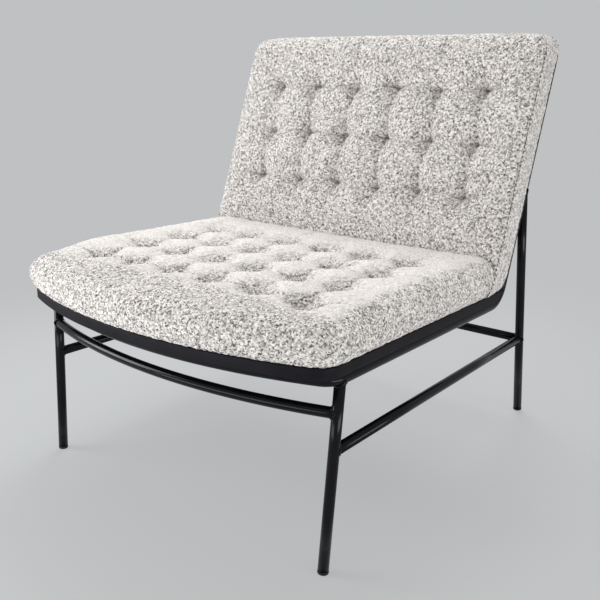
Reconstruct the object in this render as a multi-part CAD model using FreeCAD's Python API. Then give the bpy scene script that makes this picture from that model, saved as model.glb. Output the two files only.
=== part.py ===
import FreeCAD, Part
import math
import os

from FreeCAD import Placement, Rotation, Vector

# Armless low lounge chair: a welded frame of round steel tube carries a seat
# platform with a biscuit-tufted cushion on it and a tufted back cushion.
# Millimetres, +Z up. The chair faces -Y and stands on the floor, z = 0.
# The model is drawn with y = 0 at the tops of the front legs, and each piece
# is moved at the end so that the origin is under the middle of the chair.

# Frame tube
tube_diameter = 16.0
tube_wall = 1.5
rail_spacing = 604.0
rail_height = 284.5
seat_pitch_deg = 2.0
leg_to_bend = 483.8
bend_radius = 45.0
recline_deg = 21.0
upright_length = 466.0
hoop_corner_radius = 24.0
front_rail_bow_radius = 790.0
front_rail_reach = 74.6
front_rail_corner_radius = 30.0
front_rail_tail = 34.0
bend_sagitta = 1.0

# Legs and stretchers
front_foot_inset = 7.2
front_foot_reach = 24.6
rear_foot_inset = 7.2
rear_foot_setback = 643.4
rear_leg_joint = 206.0
front_stretcher_height = 236.8
front_stretcher_sagitta = 47.5
side_stretcher_front_height = 183.0
side_stretcher_rear_height = 162.5

# Glides in the feet
glide_lip = 5.0
glide_plug_length = 16.0
glide_plug_clearance = 0.1
glide_plug_ribs = 6
glide_sole_radius = 6.0
glide_sole_spare = 1.5

# Flat cross bars that the cushions are screwed to
bar_width = 30.0
bar_thickness = 4.0
seat_bar_front_at = 70.0
seat_bar_rear_at = 400.0
back_bar_lower_at = 120.0
back_bar_upper_drop = 86.0

# Seat platform, the black board under the cushion
platform_thickness = 17.0
platform_side_overhang = 2.0
platform_front_overhang = 20.0
platform_bow_radius = 800.0
platform_corner_radius = 38.0
platform_edge_bevel = 1.2

# Seat cushion, heights above the platform's top
soft_gap = 0.3
pad_board_thickness = 9.0
pad_board_inset = 16.0
seat_foam_inset = 12.0
seat_crown_height = 63.5
seat_rim_height = 65.5
seat_bulge = 10.0
seat_bulge_height = 31.0
seat_topper_thickness = 24.0
seat_foot_inset = 1.5
seat_edge_run = 30.0
seat_edge_lap = 20.0
cavity_corner_radius = 24.0

# Back cushion, distances forward of the uprights' front
back_side_overhang = 3.0
back_side_flare = 9.0
back_thickness = 74.6
back_top_drop = 14.0
back_corner_radius = 30.0
back_crown = 9.0
back_board_thickness = 12.0
rear_cover_thickness = 2.0
gusset_thickness = 3.0
back_topper_thickness = 20.0
back_board_inset = 14.0

# Tufts
seat_tuft_columns = 6
seat_tuft_rows = 4
seat_tuft_pitch_x = 85.6
seat_tuft_pitch_y = 96.0
seat_tuft_front = 131.0
seat_tuft_radius = 52.0
seat_tuft_depth = 14.0
back_tuft_columns = 6
back_tuft_rows = 3
back_tuft_pitch_x = 91.5
back_tuft_pitch_z = 95.0
back_tuft_top = 95.0
back_tuft_radius = 54.0
back_tuft_depth = 15.0
tuft_sides = 8

# Shares of a size
# inset as a share of the tuft pitch, rise as a share of the crown
crown_shares = ((0.0, 0.0), (0.14, 0.62), (0.5, 1.0))
# radius and depth of a dimple's rings above its tip, shares of its rim and depth
tuft_shares = ((1.0, 0.0), (0.62, 0.2), (0.3, 0.55))
# straight taper of a glide as a share of its lip
glide_taper_share = 0.45

# How far a cutting block or an end to be cut reaches past the piece
overrun = 20.0

# Worked out from the sizes above
tube_radius = tube_diameter / 2
rail_x = rail_spacing / 2
pitch = math.radians(seat_pitch_deg)
recline = math.radians(recline_deg)
bend_y = leg_to_bend
bend_z = rail_height - math.tan(pitch) * leg_to_bend
bend_turn = math.pi / 2 - recline + pitch
bend_tangent = bend_radius * math.tan(bend_turn / 2)
rail_run = leg_to_bend / math.cos(pitch)
platform_half = rail_x + tube_radius + platform_side_overhang
platform_top = tube_radius + platform_thickness
platform_apex = -(front_rail_reach + tube_radius + platform_front_overhang)
back_half_rear = rail_x + tube_radius + back_side_overhang
back_face = tube_radius + soft_gap
seam_face = tube_radius + back_thickness
back_front_top = upright_length - back_top_drop
rise_per_depth = math.tan(recline)

seat_frame = Placement(Vector(0, 0, rail_height),
                       Rotation(Vector(1, 0, 0), -seat_pitch_deg))
back_frame = Placement(Vector(0, bend_y, bend_z),
                       Rotation(Vector(1, 0, 0), -recline_deg))
front_edge = seat_frame.multVec(Vector(0, platform_apex - seat_bulge,
                                       platform_top + seat_bulge_height))
rear_edge = back_frame.multVec(Vector(0, 0, upright_length))
origin_y = (front_edge.y + rear_edge.y + tube_radius) / 2


def along(start, end, share):
    """Point at a share of the way from start to end."""
    return start + (end - start) * share


def at_height(start, end, height):
    """Point of the line from start to end at a height above the floor."""
    return along(start, end, (height - start.z) / (end.z - start.z))


def mirrored(shape):
    """The same piece on the other side of the chair."""
    return shape.mirror(Vector(0, 0, 0), Vector(1, 0, 0))


def rod(start, end, radius):
    """Round solid bar between two points."""
    axis = end - start
    return Part.makeCylinder(radius, axis.Length, start, axis)


def tube(start, end):
    """Straight tube and the full bar of its outside."""
    full = rod(start, end, tube_radius)
    bore = rod(start, end, tube_radius - tube_wall)
    return full.cut(bore), full


def arc_steps(radius, turn):
    """How many straight stretches stay within bend_sagitta of an arc."""
    step = 2 * math.acos(1 - bend_sagitta / radius)
    return math.ceil(abs(turn) / step)


def stations(edges, across):
    """Places along tangent edges where a bent bar has a section.

    An arc is divided so that no stretch strays from it by more than
    bend_sagitta. across is square to the plane of the edges.
    """
    places = []
    for edge in edges:
        steps = 1
        if isinstance(edge.Curve, Part.Circle):
            turn = edge.LastParameter - edge.FirstParameter
            steps = arc_steps(edge.Curve.Radius, turn)
        for index in range(steps + 1):
            share = index / steps
            at = edge.FirstParameter * (1 - share) + edge.LastParameter * share
            turned = Rotation(across, Vector(0, 0, 0), edge.tangentAt(at), "ZXY")
            if index or not places:
                places.append(Placement(edge.valueAt(at), turned))
    return places


def bent_bar(edges, across, radius):
    """Round solid bar through the stations of its edges."""
    sections = []
    for place in stations(edges, across):
        circle = Part.Circle(Vector(0, 0, 0), Vector(0, 0, 1), radius).toShape()
        circle.Placement = place
        sections.append(Part.Wire([circle]))
    return Part.makeLoft(sections, True, True)


def bent_tube(edges, across):
    """Tube bent along edges and the full bar of its outside."""
    full = bent_bar(edges, across, tube_radius)
    bore = bent_bar(edges, across, tube_radius - tube_wall)
    return full.cut(bore), full


def joined(pieces):
    """One solid of pieces that meet face to face."""
    return pieces[0].fuse(pieces[1:]).removeSplitter()


def largest(shape):
    """The biggest solid of a cut shape, which is the piece itself."""
    return max(shape.Solids, key=lambda solid: solid.Volume)


def line(start, end):
    return Part.LineSegment(start, end).toShape()


def arc(start, middle, end):
    return Part.Arc(start, middle, end).toShape()


def polygon_face(points):
    """Flat face inside straight edges."""
    return Part.Face(Part.makePolygon(points + [points[0]]))


def bow_corner(half, apex, bow_radius, corner_radius):
    """Corner of a bowed front in the seat's plane.

    The side is a line x = half and the front an arc whose foremost point is
    at y = apex. The corner arc touches both. Returns where it leaves the
    side, its middle and where it joins the bow.
    """
    bow_centre = apex + bow_radius
    centre_x = half - corner_radius
    to_corner = bow_radius - corner_radius
    centre_y = bow_centre - math.sqrt(to_corner ** 2 - centre_x ** 2)
    centre = Vector(centre_x, centre_y, 0)
    outward = (centre - Vector(0, bow_centre, 0)).normalize()
    halfway = (outward + Vector(1, 0, 0)).normalize()
    on_side = Vector(half, centre_y, 0)
    middle = centre + halfway * corner_radius
    on_bow = centre + outward * corner_radius
    return on_side, middle, on_bow


def flip(point):
    return Vector(-point.x, point.y, point.z)


def bowed_outline(half, apex, rear, height, bow_radius, corner_radius):
    """Closed plan of the seat: straight back and sides, bowed front."""
    lift = Vector(0, 0, height)
    corner = bow_corner(half, apex, bow_radius, corner_radius)
    side, middle, bow = [point + lift for point in corner]
    rear_right = Vector(half, rear, height)
    tip = Vector(0, apex, height)
    return Part.Wire([
        line(flip(rear_right), rear_right),
        line(rear_right, side),
        arc(side, middle, bow),
        arc(bow, tip, flip(bow)),
        arc(flip(bow), flip(middle), flip(side)),
        line(flip(side), flip(rear_right)),
    ])


def back_top(depth):
    """Height of the back cushion's level top at a depth, along the back."""
    return back_front_top + (seam_face - depth) * rise_per_depth


def back_bottom(depth):
    """Where the back cushion stands on the platform, along the back."""
    lean = recline - pitch
    stand = platform_top + soft_gap
    return (stand - depth * math.sin(lean)) / math.cos(lean)


def back_half_width(depth):
    """Half width of the back cushion at a depth forward of the uprights."""
    share = (depth - tube_radius) / back_thickness
    return back_half_rear + back_side_flare * share


def back_outline(depth, inset, radius):
    """Closed outline of the back cushion in a plane parallel to the back."""
    half = back_half_width(depth) - inset
    top = back_top(depth) - inset
    bottom = back_bottom(depth) + inset
    cut = radius * (1 - math.sqrt(0.5))
    y = -depth
    low = Vector(half, y, bottom)
    side = Vector(half, y, top - radius)
    middle = Vector(half - cut, y, top - cut)
    above = Vector(half - radius, y, top)
    return Part.Wire([
        line(flip(low), low),
        line(low, side),
        arc(side, middle, above),
        line(above, flip(above)),
        arc(flip(above), flip(middle), flip(side)),
        line(flip(side), flip(low)),
    ])


def loft(wires, ruled=True):
    return Part.makeLoft(wires, True, ruled)


def back_slab(near, far, inset):
    """Board or layer of the back cushion between two depths."""
    radius = back_corner_radius - inset / 2
    wires = [back_outline(depth, inset, radius) for depth in (near, far)]
    return loft(wires)


def ring_of(sides, radius, height):
    """Corners of a level regular polygon about Z."""
    corners = []
    for side in range(sides):
        turn = 2 * math.pi * side / sides
        corners.append(Vector(radius * math.cos(turn), radius * math.sin(turn),
                              height))
    return corners


def tuft_tool(radius, depth):
    """Faceted trumpet dimple about Z, its rim level with z = 0 and its tip down."""
    rings = [ring_of(tuft_sides, radius, overrun)]
    for radius_share, depth_share in tuft_shares:
        rings.append(ring_of(tuft_sides, radius * radius_share,
                             -depth * depth_share))
    tip = Vector(0, 0, -depth)
    faces = [polygon_face(rings[0])]
    for side in range(tuft_sides):
        following = (side + 1) % tuft_sides
        for above, below in zip(rings, rings[1:]):
            faces.append(polygon_face([above[side], above[following],
                                       below[following], below[side]]))
        faces.append(polygon_face([rings[-1][side], rings[-1][following], tip]))
    return Part.Solid(Part.Shell(faces))


def grid(columns, rows, pitch_across, pitch_along, start):
    """Centres of a tuft pattern, even about the middle."""
    places = []
    for row in range(rows):
        for column in range(columns):
            across = (column - (columns - 1) / 2) * pitch_across
            places.append((across, start + row * pitch_along))
    return places


# Key points of the frame
front_top = Vector(rail_x, 0, rail_height)
front_foot = Vector(rail_x - front_foot_inset, -front_foot_reach, 0)
rear_top = back_frame.multVec(Vector(rail_x, 0, rear_leg_joint))
rear_foot = Vector(rail_x - rear_foot_inset, rear_foot_setback, 0)
rail_corner = bow_corner(rail_x, -front_rail_reach, front_rail_bow_radius,
                         front_rail_corner_radius)


def front_rail():
    """Bowed front of the seat frame with both corners and short tails."""
    side, middle, bow = rail_corner
    tail = Vector(rail_x, front_rail_tail, 0)
    tip = Vector(0, -front_rail_reach, 0)
    edges = [
        line(tail, side),
        arc(side, middle, bow),
        arc(bow, tip, flip(bow)),
        arc(flip(bow), flip(middle), flip(side)),
        line(flip(side), flip(tail)),
    ]
    piece, full = bent_tube(edges, Vector(0, 0, 1))
    return in_seat(piece), in_seat(full)


def in_seat(shape):
    shape.Placement = seat_frame.multiply(shape.Placement)
    return shape


def in_back(shape):
    shape.Placement = back_frame.multiply(shape.Placement)
    return shape


def side_rail():
    """Straight side of the seat frame, up to where the bend starts."""
    start = Vector(rail_x, front_rail_tail, 0)
    end = Vector(rail_x, rail_run - bend_tangent, 0)
    piece, full = tube(start, end)
    return in_seat(piece), in_seat(full)


def upright():
    """Bend behind the seat and the straight upright above it."""
    start = seat_frame.multVec(Vector(rail_x, rail_run - bend_tangent, 0))
    above = back_frame.multVec(Vector(rail_x, 0, bend_tangent))
    corner = Vector(rail_x, bend_y, bend_z)
    inward = ((start - corner).normalize() + (above - corner).normalize()).normalize()
    to_middle = bend_radius / math.cos(bend_turn / 2) - bend_radius
    middle = corner + inward * to_middle
    end = back_frame.multVec(Vector(rail_x, 0, upright_length - hoop_corner_radius))
    return bent_tube([arc(start, middle, above), line(above, end)], Vector(1, 0, 0))


def top_rail():
    """Top of the hoop behind the back cushion, with its two corners."""
    low = Vector(rail_x, 0, upright_length - hoop_corner_radius)
    inner = Vector(rail_x - hoop_corner_radius, 0, upright_length)
    cut = hoop_corner_radius * (1 - math.sqrt(0.5))
    middle = Vector(rail_x - cut, 0, upright_length - cut)
    edges = [
        arc(low, middle, inner),
        line(inner, flip(inner)),
        arc(flip(inner), flip(middle), flip(low)),
    ]
    piece, full = bent_tube(edges, Vector(0, 1, 0))
    return in_back(piece), in_back(full)


def leg(foot, top, carrier):
    """Leg from the lip of its glide up to the tube that it is welded to."""
    start = at_height(foot, top, glide_lip)
    piece, full = tube(start, top)
    return largest(piece.cut(carrier)), full


def glide(foot, top):
    """Plastic foot plug with a tapered lip and a flat sole on the floor."""
    axis = (top - foot).normalize()
    lip = at_height(foot, top, glide_lip)
    length = (lip - foot).Length
    taper = length * glide_taper_share
    below = Vector(0, 0, -glide_sole_spare)
    sole = Part.makeCylinder(glide_sole_radius, glide_sole_spare, below)
    cone = Part.makeCone(glide_sole_radius, tube_radius, taper)
    collar = Part.makeCylinder(tube_radius, length - taper, Vector(0, 0, taper))
    plug_radius = tube_radius - tube_wall - glide_plug_clearance
    plug = polygon_face(ring_of(glide_plug_ribs, plug_radius, length))
    plug = plug.extrude(Vector(0, 0, glide_plug_length))
    piece = joined([sole, cone, collar, plug])
    piece.Placement = Placement(foot, Rotation(Vector(0, 0, 1), axis))
    ground = Part.makeBox(2 * overrun, 2 * overrun, overrun,
                          foot - Vector(overrun, overrun, overrun))
    return largest(piece.cut(ground))


def front_stretcher(legs):
    """Bowed stretcher between the front legs, with short straight ends."""
    weld = at_height(front_foot, front_top, front_stretcher_height)
    sag = front_stretcher_sagitta
    bow_radius = (weld.x ** 2 + sag ** 2) / (2 * sag)
    centre = Vector(0, weld.y - sag + bow_radius, weld.z)
    lean = math.asin((weld.x - tube_diameter) / bow_radius)
    start = centre + Vector(math.sin(lean), -math.cos(lean), 0) * bow_radius
    out = Vector(math.cos(lean), math.sin(lean), 0)
    end = start + out * ((weld.x - start.x) / out.x)
    tip = Vector(0, weld.y - sag, weld.z)
    middle, _ = bent_tube([arc(start, tip, flip(start))], Vector(0, 0, 1))
    straight, _ = tube(start, end)
    return largest(joined([middle, straight, mirrored(straight)]).cut(legs))


def side_stretcher(legs):
    """Straight stretcher from the front leg to the rear leg."""
    start = at_height(front_foot, front_top, side_stretcher_front_height)
    end = at_height(rear_foot, rear_top, side_stretcher_rear_height)
    piece, full = tube(start, end)
    return largest(piece.cut(legs)), full


def rear_stretcher(legs, side_stretchers):
    """Straight stretcher between the rear legs."""
    end = at_height(rear_foot, rear_top, side_stretcher_rear_height)
    piece, full = tube(flip(end), end)
    return largest(piece.cut(legs).cut(side_stretchers))


def cross_bar(rails, station, place):
    """Flat steel bar welded between two tubes, its face level with them."""
    top = tube_radius
    low = Vector(-rail_x, station - bar_width / 2, top - bar_thickness)
    bar = Part.makeBox(rail_spacing, bar_width, bar_thickness, low)
    return largest(place(bar).cut(rails))


def back_bar(rails, station):
    """Cross bar of the back, drawn lying down and stood up with the back."""
    def place(bar):
        bar.Placement = stand_up.multiply(bar.Placement)
        return bar
    return cross_bar(rails, station, place)


# Turns a piece drawn flat, y up the back and z forward, into the back's frame.
stand_up = back_frame.multiply(
    Placement(Vector(0, 0, 0), Rotation(Vector(1, 0, 0), 90)))


def seat_platform():
    """Black board with a bowed front and a rear edge that follows the bend."""
    rear = rail_run + overrun
    wire = bowed_outline(platform_half, platform_apex, rear, tube_radius,
                         platform_bow_radius, platform_corner_radius)
    board = Part.Face(wire).extrude(Vector(0, 0, platform_thickness))
    edges = [edge for edge in board.Edges if is_shown(edge)]
    board = board.makeChamfer(platform_edge_bevel, edges)
    return largest(in_seat(board).cut(outside_bend()))


def outside_bend():
    """What a cushion or board keeps clear of behind the frame's bends."""
    start = seat_frame.multVec(Vector(0, rail_run - bend_tangent, 0))
    above = back_frame.multVec(Vector(0, 0, bend_tangent))
    corner = Vector(0, bend_y, bend_z)
    inward = ((start - corner).normalize() + (above - corner).normalize()).normalize()
    centre = corner + inward * (bend_radius / math.cos(bend_turn / 2))
    reach = (bend_radius + overrun) / bend_radius
    wide = Vector(platform_half + overrun, 0, 0)
    plan = [point + wide for point in (
        centre,
        centre + (start - centre) * reach,
        centre + (corner - centre) * reach,
        centre + (above - centre) * reach,
    )]
    wedge = polygon_face(plan).extrude(wide * -2)
    radius = bend_radius - tube_radius - soft_gap
    return wedge.cut(rod(centre - wide, centre + wide, radius))


def is_shown(edge):
    """Long edges of the platform's sides and front, not those at its rear."""
    box = edge.BoundBox
    return box.ZLength < soft_gap and box.YMin < rail_run


def cushion_edge(corner, outward):
    """Section of the seat cushion's edge above a point of the platform's edge.

    The side swells from the foot to the bulge and the rim rolls over to the
    top. The arcs meet upright.
    """
    def at(out, height):
        return corner + outward * out + Vector(0, 0, height)

    run = seat_bulge + seat_foot_inset
    side_radius = (run ** 2 + seat_bulge_height ** 2) / (2 * run)
    lean = math.asin(seat_bulge_height / side_radius) / 2
    side = at(seat_bulge - side_radius * (1 - math.cos(lean)),
              seat_bulge_height - side_radius * math.sin(lean))
    widest = at(seat_bulge, seat_bulge_height)
    roll = seat_rim_height - seat_bulge_height
    cut = roll * (1 - math.sqrt(0.5))
    shoulder = at(seat_bulge - cut, seat_rim_height - cut)
    rim = at(seat_bulge - roll, seat_rim_height)
    foot = at(-seat_foot_inset, 0)
    inside = at(-seat_edge_run, seat_crown_height)
    base = at(-seat_edge_run, 0)
    return Part.Wire([
        arc(foot, side, widest),
        arc(widest, shoulder, rim),
        line(rim, inside),
        line(inside, base),
        line(base, foot),
    ])


def edge_sections(rear, height):
    """Sections of the cushion's edge from the right rear round to the left."""
    on_side, _, on_bow = bow_corner(platform_half, platform_apex,
                                    platform_bow_radius, platform_corner_radius)
    centre = on_side - Vector(platform_corner_radius, 0, 0)
    bow_centre = Vector(0, platform_apex + platform_bow_radius, 0)
    meet = math.atan2(on_bow.y - centre.y, on_bow.x - centre.x)
    front = -math.pi / 2
    sweeps = (
        (centre, platform_corner_radius, 0, meet),
        (bow_centre, platform_bow_radius, meet, front),
        (bow_centre, platform_bow_radius, front, -math.pi - meet),
        (flip(centre), platform_corner_radius, -math.pi - meet, -math.pi),
    )
    lift = Vector(0, 0, height)
    right = Vector(platform_half, rear, height)
    sections = [cushion_edge(right, Vector(1, 0, 0))]
    for middle, radius, first, last in sweeps:
        steps = arc_steps(radius, last - first)
        for index in range(steps + 1):
            turn = first + (last - first) * index / steps
            outward = Vector(math.cos(turn), math.sin(turn), 0)
            if index or middle == centre:
                sections.append(cushion_edge(middle + lift + outward * radius, outward))
    sections.append(cushion_edge(flip(right), Vector(-1, 0, 0)))
    return sections


def seat_body():
    """Seat cushion before tufting: a block inside an edge that goes round it."""
    lift = platform_top + soft_gap
    rear = rail_run + overrun
    plan = bowed_outline(platform_half - seat_edge_lap, platform_apex + seat_edge_lap,
                         rear, lift, platform_bow_radius - seat_edge_lap,
                         platform_corner_radius - seat_edge_lap)
    block = Part.Face(plan).extrude(Vector(0, 0, seat_crown_height))
    return joined([block, loft(edge_sections(rear, lift))])


def behind_back_face(gap):
    """Everything behind the back cushion's front seam plane."""
    size = 4 * platform_half
    box = Part.makeBox(size, size, size, Vector(-size / 2, -seam_face - gap, -size / 2))
    return in_back(box)


def seat_cover():
    """Boucle cover with its wadding: bulged sides, rounded rim, tufted top."""
    body = seat_body()
    cavity_top = platform_top + seat_crown_height - seat_topper_thickness
    cavity_wire = seat_inner(seat_foam_inset - soft_gap, platform_top)
    cavity = Part.Face(cavity_wire).extrude(Vector(0, 0, cavity_top - platform_top))
    body = body.cut(cavity)
    tool = tuft_tool(seat_tuft_radius, seat_tuft_depth)
    tufts = []
    for x, y in seat_tufts:
        dimple = tool.copy()
        dimple.translate(Vector(x, y, platform_top + soft_gap + seat_crown_height))
        tufts.append(dimple)
    body = in_seat(largest(body.cut(tufts)))
    return largest(body.cut(behind_back_face(soft_gap)))


def seat_inner(inset, height):
    """Plan of what lies inside the seat cover."""
    return bowed_outline(platform_half - inset, platform_apex + inset,
                         rail_run + overrun, height,
                         platform_bow_radius - inset, cavity_corner_radius)


def seat_block(inset, low, high):
    """Layer inside the seat cover between two heights over the platform."""
    wire = seat_inner(inset, platform_top + low)
    return Part.Face(wire).extrude(Vector(0, 0, high - low))


def pad_board():
    """Plywood board that the seat cover is stapled to."""
    top = soft_gap + pad_board_thickness
    board = seat_block(pad_board_inset, soft_gap, top)
    board = in_seat(board)
    return largest(board.cut(behind_back_face(2 * soft_gap)))


def seat_foam():
    """Foam block on the pad board."""
    low = soft_gap + pad_board_thickness + soft_gap
    high = seat_crown_height - seat_topper_thickness - soft_gap
    block = seat_block(seat_foam_inset, low, high)
    block = in_seat(block)
    return largest(block.cut(behind_back_face(2 * soft_gap)))


def back_cover():
    """Tufted boucle front of the back cushion with its wadding."""
    inset = gusset_thickness + soft_gap
    near = seam_face - back_topper_thickness
    base = back_slab(near, seam_face, inset)
    wires = []
    for inset_share, crown_share in crown_shares:
        depth = seam_face + back_crown * crown_share
        step = inset + back_tuft_pitch_x * inset_share
        radius = back_corner_radius - back_corner_radius * inset_share
        wires.append(crown_outline(depth, step, radius))
    body = base.fuse(loft(wires)).removeSplitter()
    tool = tuft_tool(back_tuft_radius, back_tuft_depth)
    tool.rotate(Vector(0, 0, 0), Vector(1, 0, 0), 90)
    tufts = []
    for x, drop in back_tufts:
        dimple = tool.copy()
        level = back_front_top - drop
        dimple.translate(Vector(x, -(seam_face + back_crown), level))
        tufts.append(dimple)
    return in_back(largest(body.cut(tufts)))


def crown_outline(depth, inset, radius):
    """Outline of the crown on the back's front face, above the seat."""
    half = back_half_width(seam_face) - inset
    top = back_front_top - inset
    bottom = crown_bottom + inset
    cut = radius * (1 - math.sqrt(0.5))
    y = -depth
    low = Vector(half, y, bottom)
    side = Vector(half, y, top - radius)
    middle = Vector(half - cut, y, top - cut)
    above = Vector(half - radius, y, top)
    return Part.Wire([
        line(flip(low), low),
        line(low, side),
        arc(side, middle, above),
        line(above, flip(above)),
        arc(flip(above), flip(middle), flip(side)),
        line(flip(side), flip(low)),
    ])


def back_gusset():
    """Boxing strip round the back cushion, from rear seam to front seam."""
    inner_radius = back_corner_radius - gusset_thickness
    outer = loft([back_outline(back_face, 0, back_corner_radius),
                  back_outline(seam_face, 0, back_corner_radius)])
    inner = loft([back_outline(back_face, gusset_thickness, inner_radius),
                  back_outline(seam_face, gusset_thickness, inner_radius)])
    return largest(in_back(outer.cut(inner)).cut(outside_bend()))


def back_rear_cover():
    """Flat boucle panel on the back of the back cushion."""
    inset = gusset_thickness + soft_gap
    far = back_face + rear_cover_thickness
    panel = back_slab(back_face, far, inset)
    return largest(in_back(panel).cut(outside_bend()))


def back_board():
    """Plywood board that carries the back cushion."""
    near = back_face + rear_cover_thickness + soft_gap
    far = near + back_board_thickness
    board = back_slab(near, far, back_board_inset)
    return in_back(board)


def back_foam():
    """Foam block between the back board and the tufted front."""
    near = back_board_front + soft_gap
    far = seam_face - back_topper_thickness - soft_gap
    block = back_slab(near, far, gusset_thickness + soft_gap)
    return in_back(block)


# Places worked out from the sizes and functions above
back_board_front = (back_face + rear_cover_thickness + soft_gap
                    + back_board_thickness)
seat_tufts = grid(seat_tuft_columns, seat_tuft_rows, seat_tuft_pitch_x,
                  seat_tuft_pitch_y, platform_apex + seat_tuft_front)
back_tufts = grid(back_tuft_columns, back_tuft_rows, back_tuft_pitch_x,
                  back_tuft_pitch_z, back_tuft_top)
crown_bottom = back_bottom(seam_face) + seat_rim_height


def save(name, shape):
    """Write one piece, moved so that the origin is under the chair's middle."""
    piece = shape.copy()
    piece.translate(Vector(0, -origin_y, 0))
    piece.exportStep(os.path.join("parts", name + ".step"))


def save_pair(name, shape):
    save(name + "_right", shape)
    save(name + "_left", mirrored(shape))


def build():
    os.makedirs("parts", exist_ok=True)

    rail, rail_full = front_rail()
    side, side_full = side_rail()
    post, post_full = upright()
    hoop, hoop_full = top_rail()
    save("front_rail", rail)
    save_pair("side_rail", side)
    save_pair("back_upright", post)
    save("back_top_rail", hoop)

    front_leg, front_leg_full = leg(front_foot, front_top, rail_full)
    rear_leg, rear_leg_full = leg(rear_foot, rear_top, post_full)
    save_pair("front_leg", front_leg)
    save_pair("rear_leg", rear_leg)
    front_glide = glide(front_foot, front_top)
    rear_glide = glide(rear_foot, rear_top)
    save("front_glides", Part.makeCompound([front_glide, mirrored(front_glide)]))
    save("rear_glides", Part.makeCompound([rear_glide, mirrored(rear_glide)]))

    front_legs = [front_leg_full, mirrored(front_leg_full)]
    rear_legs = [rear_leg_full, mirrored(rear_leg_full)]
    save("front_stretcher", front_stretcher(front_legs))
    straight, straight_full = side_stretcher([front_leg_full, rear_leg_full])
    save_pair("side_stretcher", straight)
    save("rear_stretcher", rear_stretcher(
        rear_legs, [straight_full, mirrored(straight_full)]))

    side_rails = [side_full, mirrored(side_full)]
    uprights = [post_full, mirrored(post_full)]
    save("seat_cross_bar_front", cross_bar(side_rails, seat_bar_front_at, in_seat))
    save("seat_cross_bar_rear", cross_bar(side_rails, seat_bar_rear_at, in_seat))
    save("back_cross_bar_lower", back_bar(uprights, back_bar_lower_at))
    save("back_cross_bar_upper",
         back_bar(uprights, upright_length - back_bar_upper_drop))

    save("seat_platform", seat_platform())
    save("seat_pad_board", pad_board())
    save("seat_foam", seat_foam())
    save("seat_cover", seat_cover())

    save("back_rear_cover", back_rear_cover())
    save("back_board", back_board())
    save("back_foam", back_foam())
    save("back_cover", back_cover())
    save("back_gusset", back_gusset())


build()
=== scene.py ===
"""Looks of a tufted boucle lounge chair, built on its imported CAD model.

Laid out as a Blender add-on: the sizes and finishes are properties, each piece
or group of like pieces is made by one operator, and main() runs them in order.
Lengths are metres, in the frame of the CAD model: +Z up, the chair faces -Y.
"""

import math

import bmesh
import bpy
import numpy as np
from mathutils import Matrix, Vector


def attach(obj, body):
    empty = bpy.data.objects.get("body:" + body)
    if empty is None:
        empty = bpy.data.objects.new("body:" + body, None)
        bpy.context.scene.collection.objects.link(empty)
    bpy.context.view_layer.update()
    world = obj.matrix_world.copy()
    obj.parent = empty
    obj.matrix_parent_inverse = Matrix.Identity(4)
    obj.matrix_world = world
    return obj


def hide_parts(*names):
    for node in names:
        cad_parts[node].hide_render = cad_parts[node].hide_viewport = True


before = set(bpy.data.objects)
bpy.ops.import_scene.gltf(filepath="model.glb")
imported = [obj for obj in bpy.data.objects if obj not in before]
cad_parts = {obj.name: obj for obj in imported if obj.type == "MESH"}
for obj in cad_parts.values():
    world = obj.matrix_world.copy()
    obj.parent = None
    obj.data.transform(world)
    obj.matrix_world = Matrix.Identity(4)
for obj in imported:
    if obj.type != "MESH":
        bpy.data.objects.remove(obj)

bl_info = {
    "name": "Tufted lounge chair",
    "version": (1, 0, 0),
    "blender": (4, 5, 0),
    "location": "View3D > Sidebar > Chair",
    "description": "Dresses the lounge chair: steel tube frame, tufted cushions, stage",
    "category": "Object",
}

# Places that the CAD model fixes. In the seat's plane y runs to the rear along the
# rails, in the back's y runs up the uprights; z stands on the axes of the tubes.
PITCH = math.radians(2.0)
RECLINE = math.radians(21.0)
LEAN = RECLINE - PITCH
SEAT_ORIGIN = np.array([0.0, -0.27411, 0.2845])
BACK_ORIGIN = np.array([0.0, 0.20969, 0.26761])

# The frame's tubes
RAIL_X = 0.302
RAIL_RUN = 0.48409
RAIL_BOW_CENTRE = 0.7154
RAIL_BOW_APEX = -0.0746
RAIL_CORNER = np.array([0.272, 0.005741, 0.0])
RAIL_CORNER_RADIUS = 0.03
BEND_RADIUS = 0.045
BEND_TANGENT = BEND_RADIUS * math.tan((math.pi / 2 - LEAN) / 2)
UPRIGHT = 0.466
HOOP_CORNER = 0.024
FRONT_FOOT = np.array([0.2948, -0.29871, 0.0])
FRONT_TOP = np.array([0.302, -0.27411, 0.2845])
REAR_FOOT = np.array([0.2948, 0.36929, 0.0])
REAR_JOINT = 0.206
BOW_STRETCHER_HEIGHT = 0.2368
BOW_STRETCHER_SAG = 0.0475
SIDE_STRETCHER_FRONT = 0.183
SIDE_STRETCHER_REAR = 0.1625
GLIDE_LIP = 0.005
SEAT_BARS = (0.07, 0.4)
BACK_BARS = (0.12, 0.38)
SCREW_X = 0.18
BAR_FACE = 0.004

# The platform and the seat cushion on it
PLATFORM_LOW = 0.008
PLATFORM_TOP = 0.025
PLATFORM_HALF = 0.312
PLATFORM_APEX = -0.1026
PLATFORM_BOW = 0.8
PLATFORM_CORNER = 0.038
BEND_CLEAR = 0.0367
SEAT_MIDDLE = 0.15
SEAT_THICK = 0.0645
SEAT_LIFT = 0.0003
SEAT_REAR_GAP = 0.0004
SIDE_OUT = 0.010
SIDE_RUN = 0.0115
SIDE_HEIGHT = 0.031
RIM_RADIUS = 0.0345
FRONT_FLAT = 0.01
FRONT_DROP = 0.012
FRONT_RUN = 0.12

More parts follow.
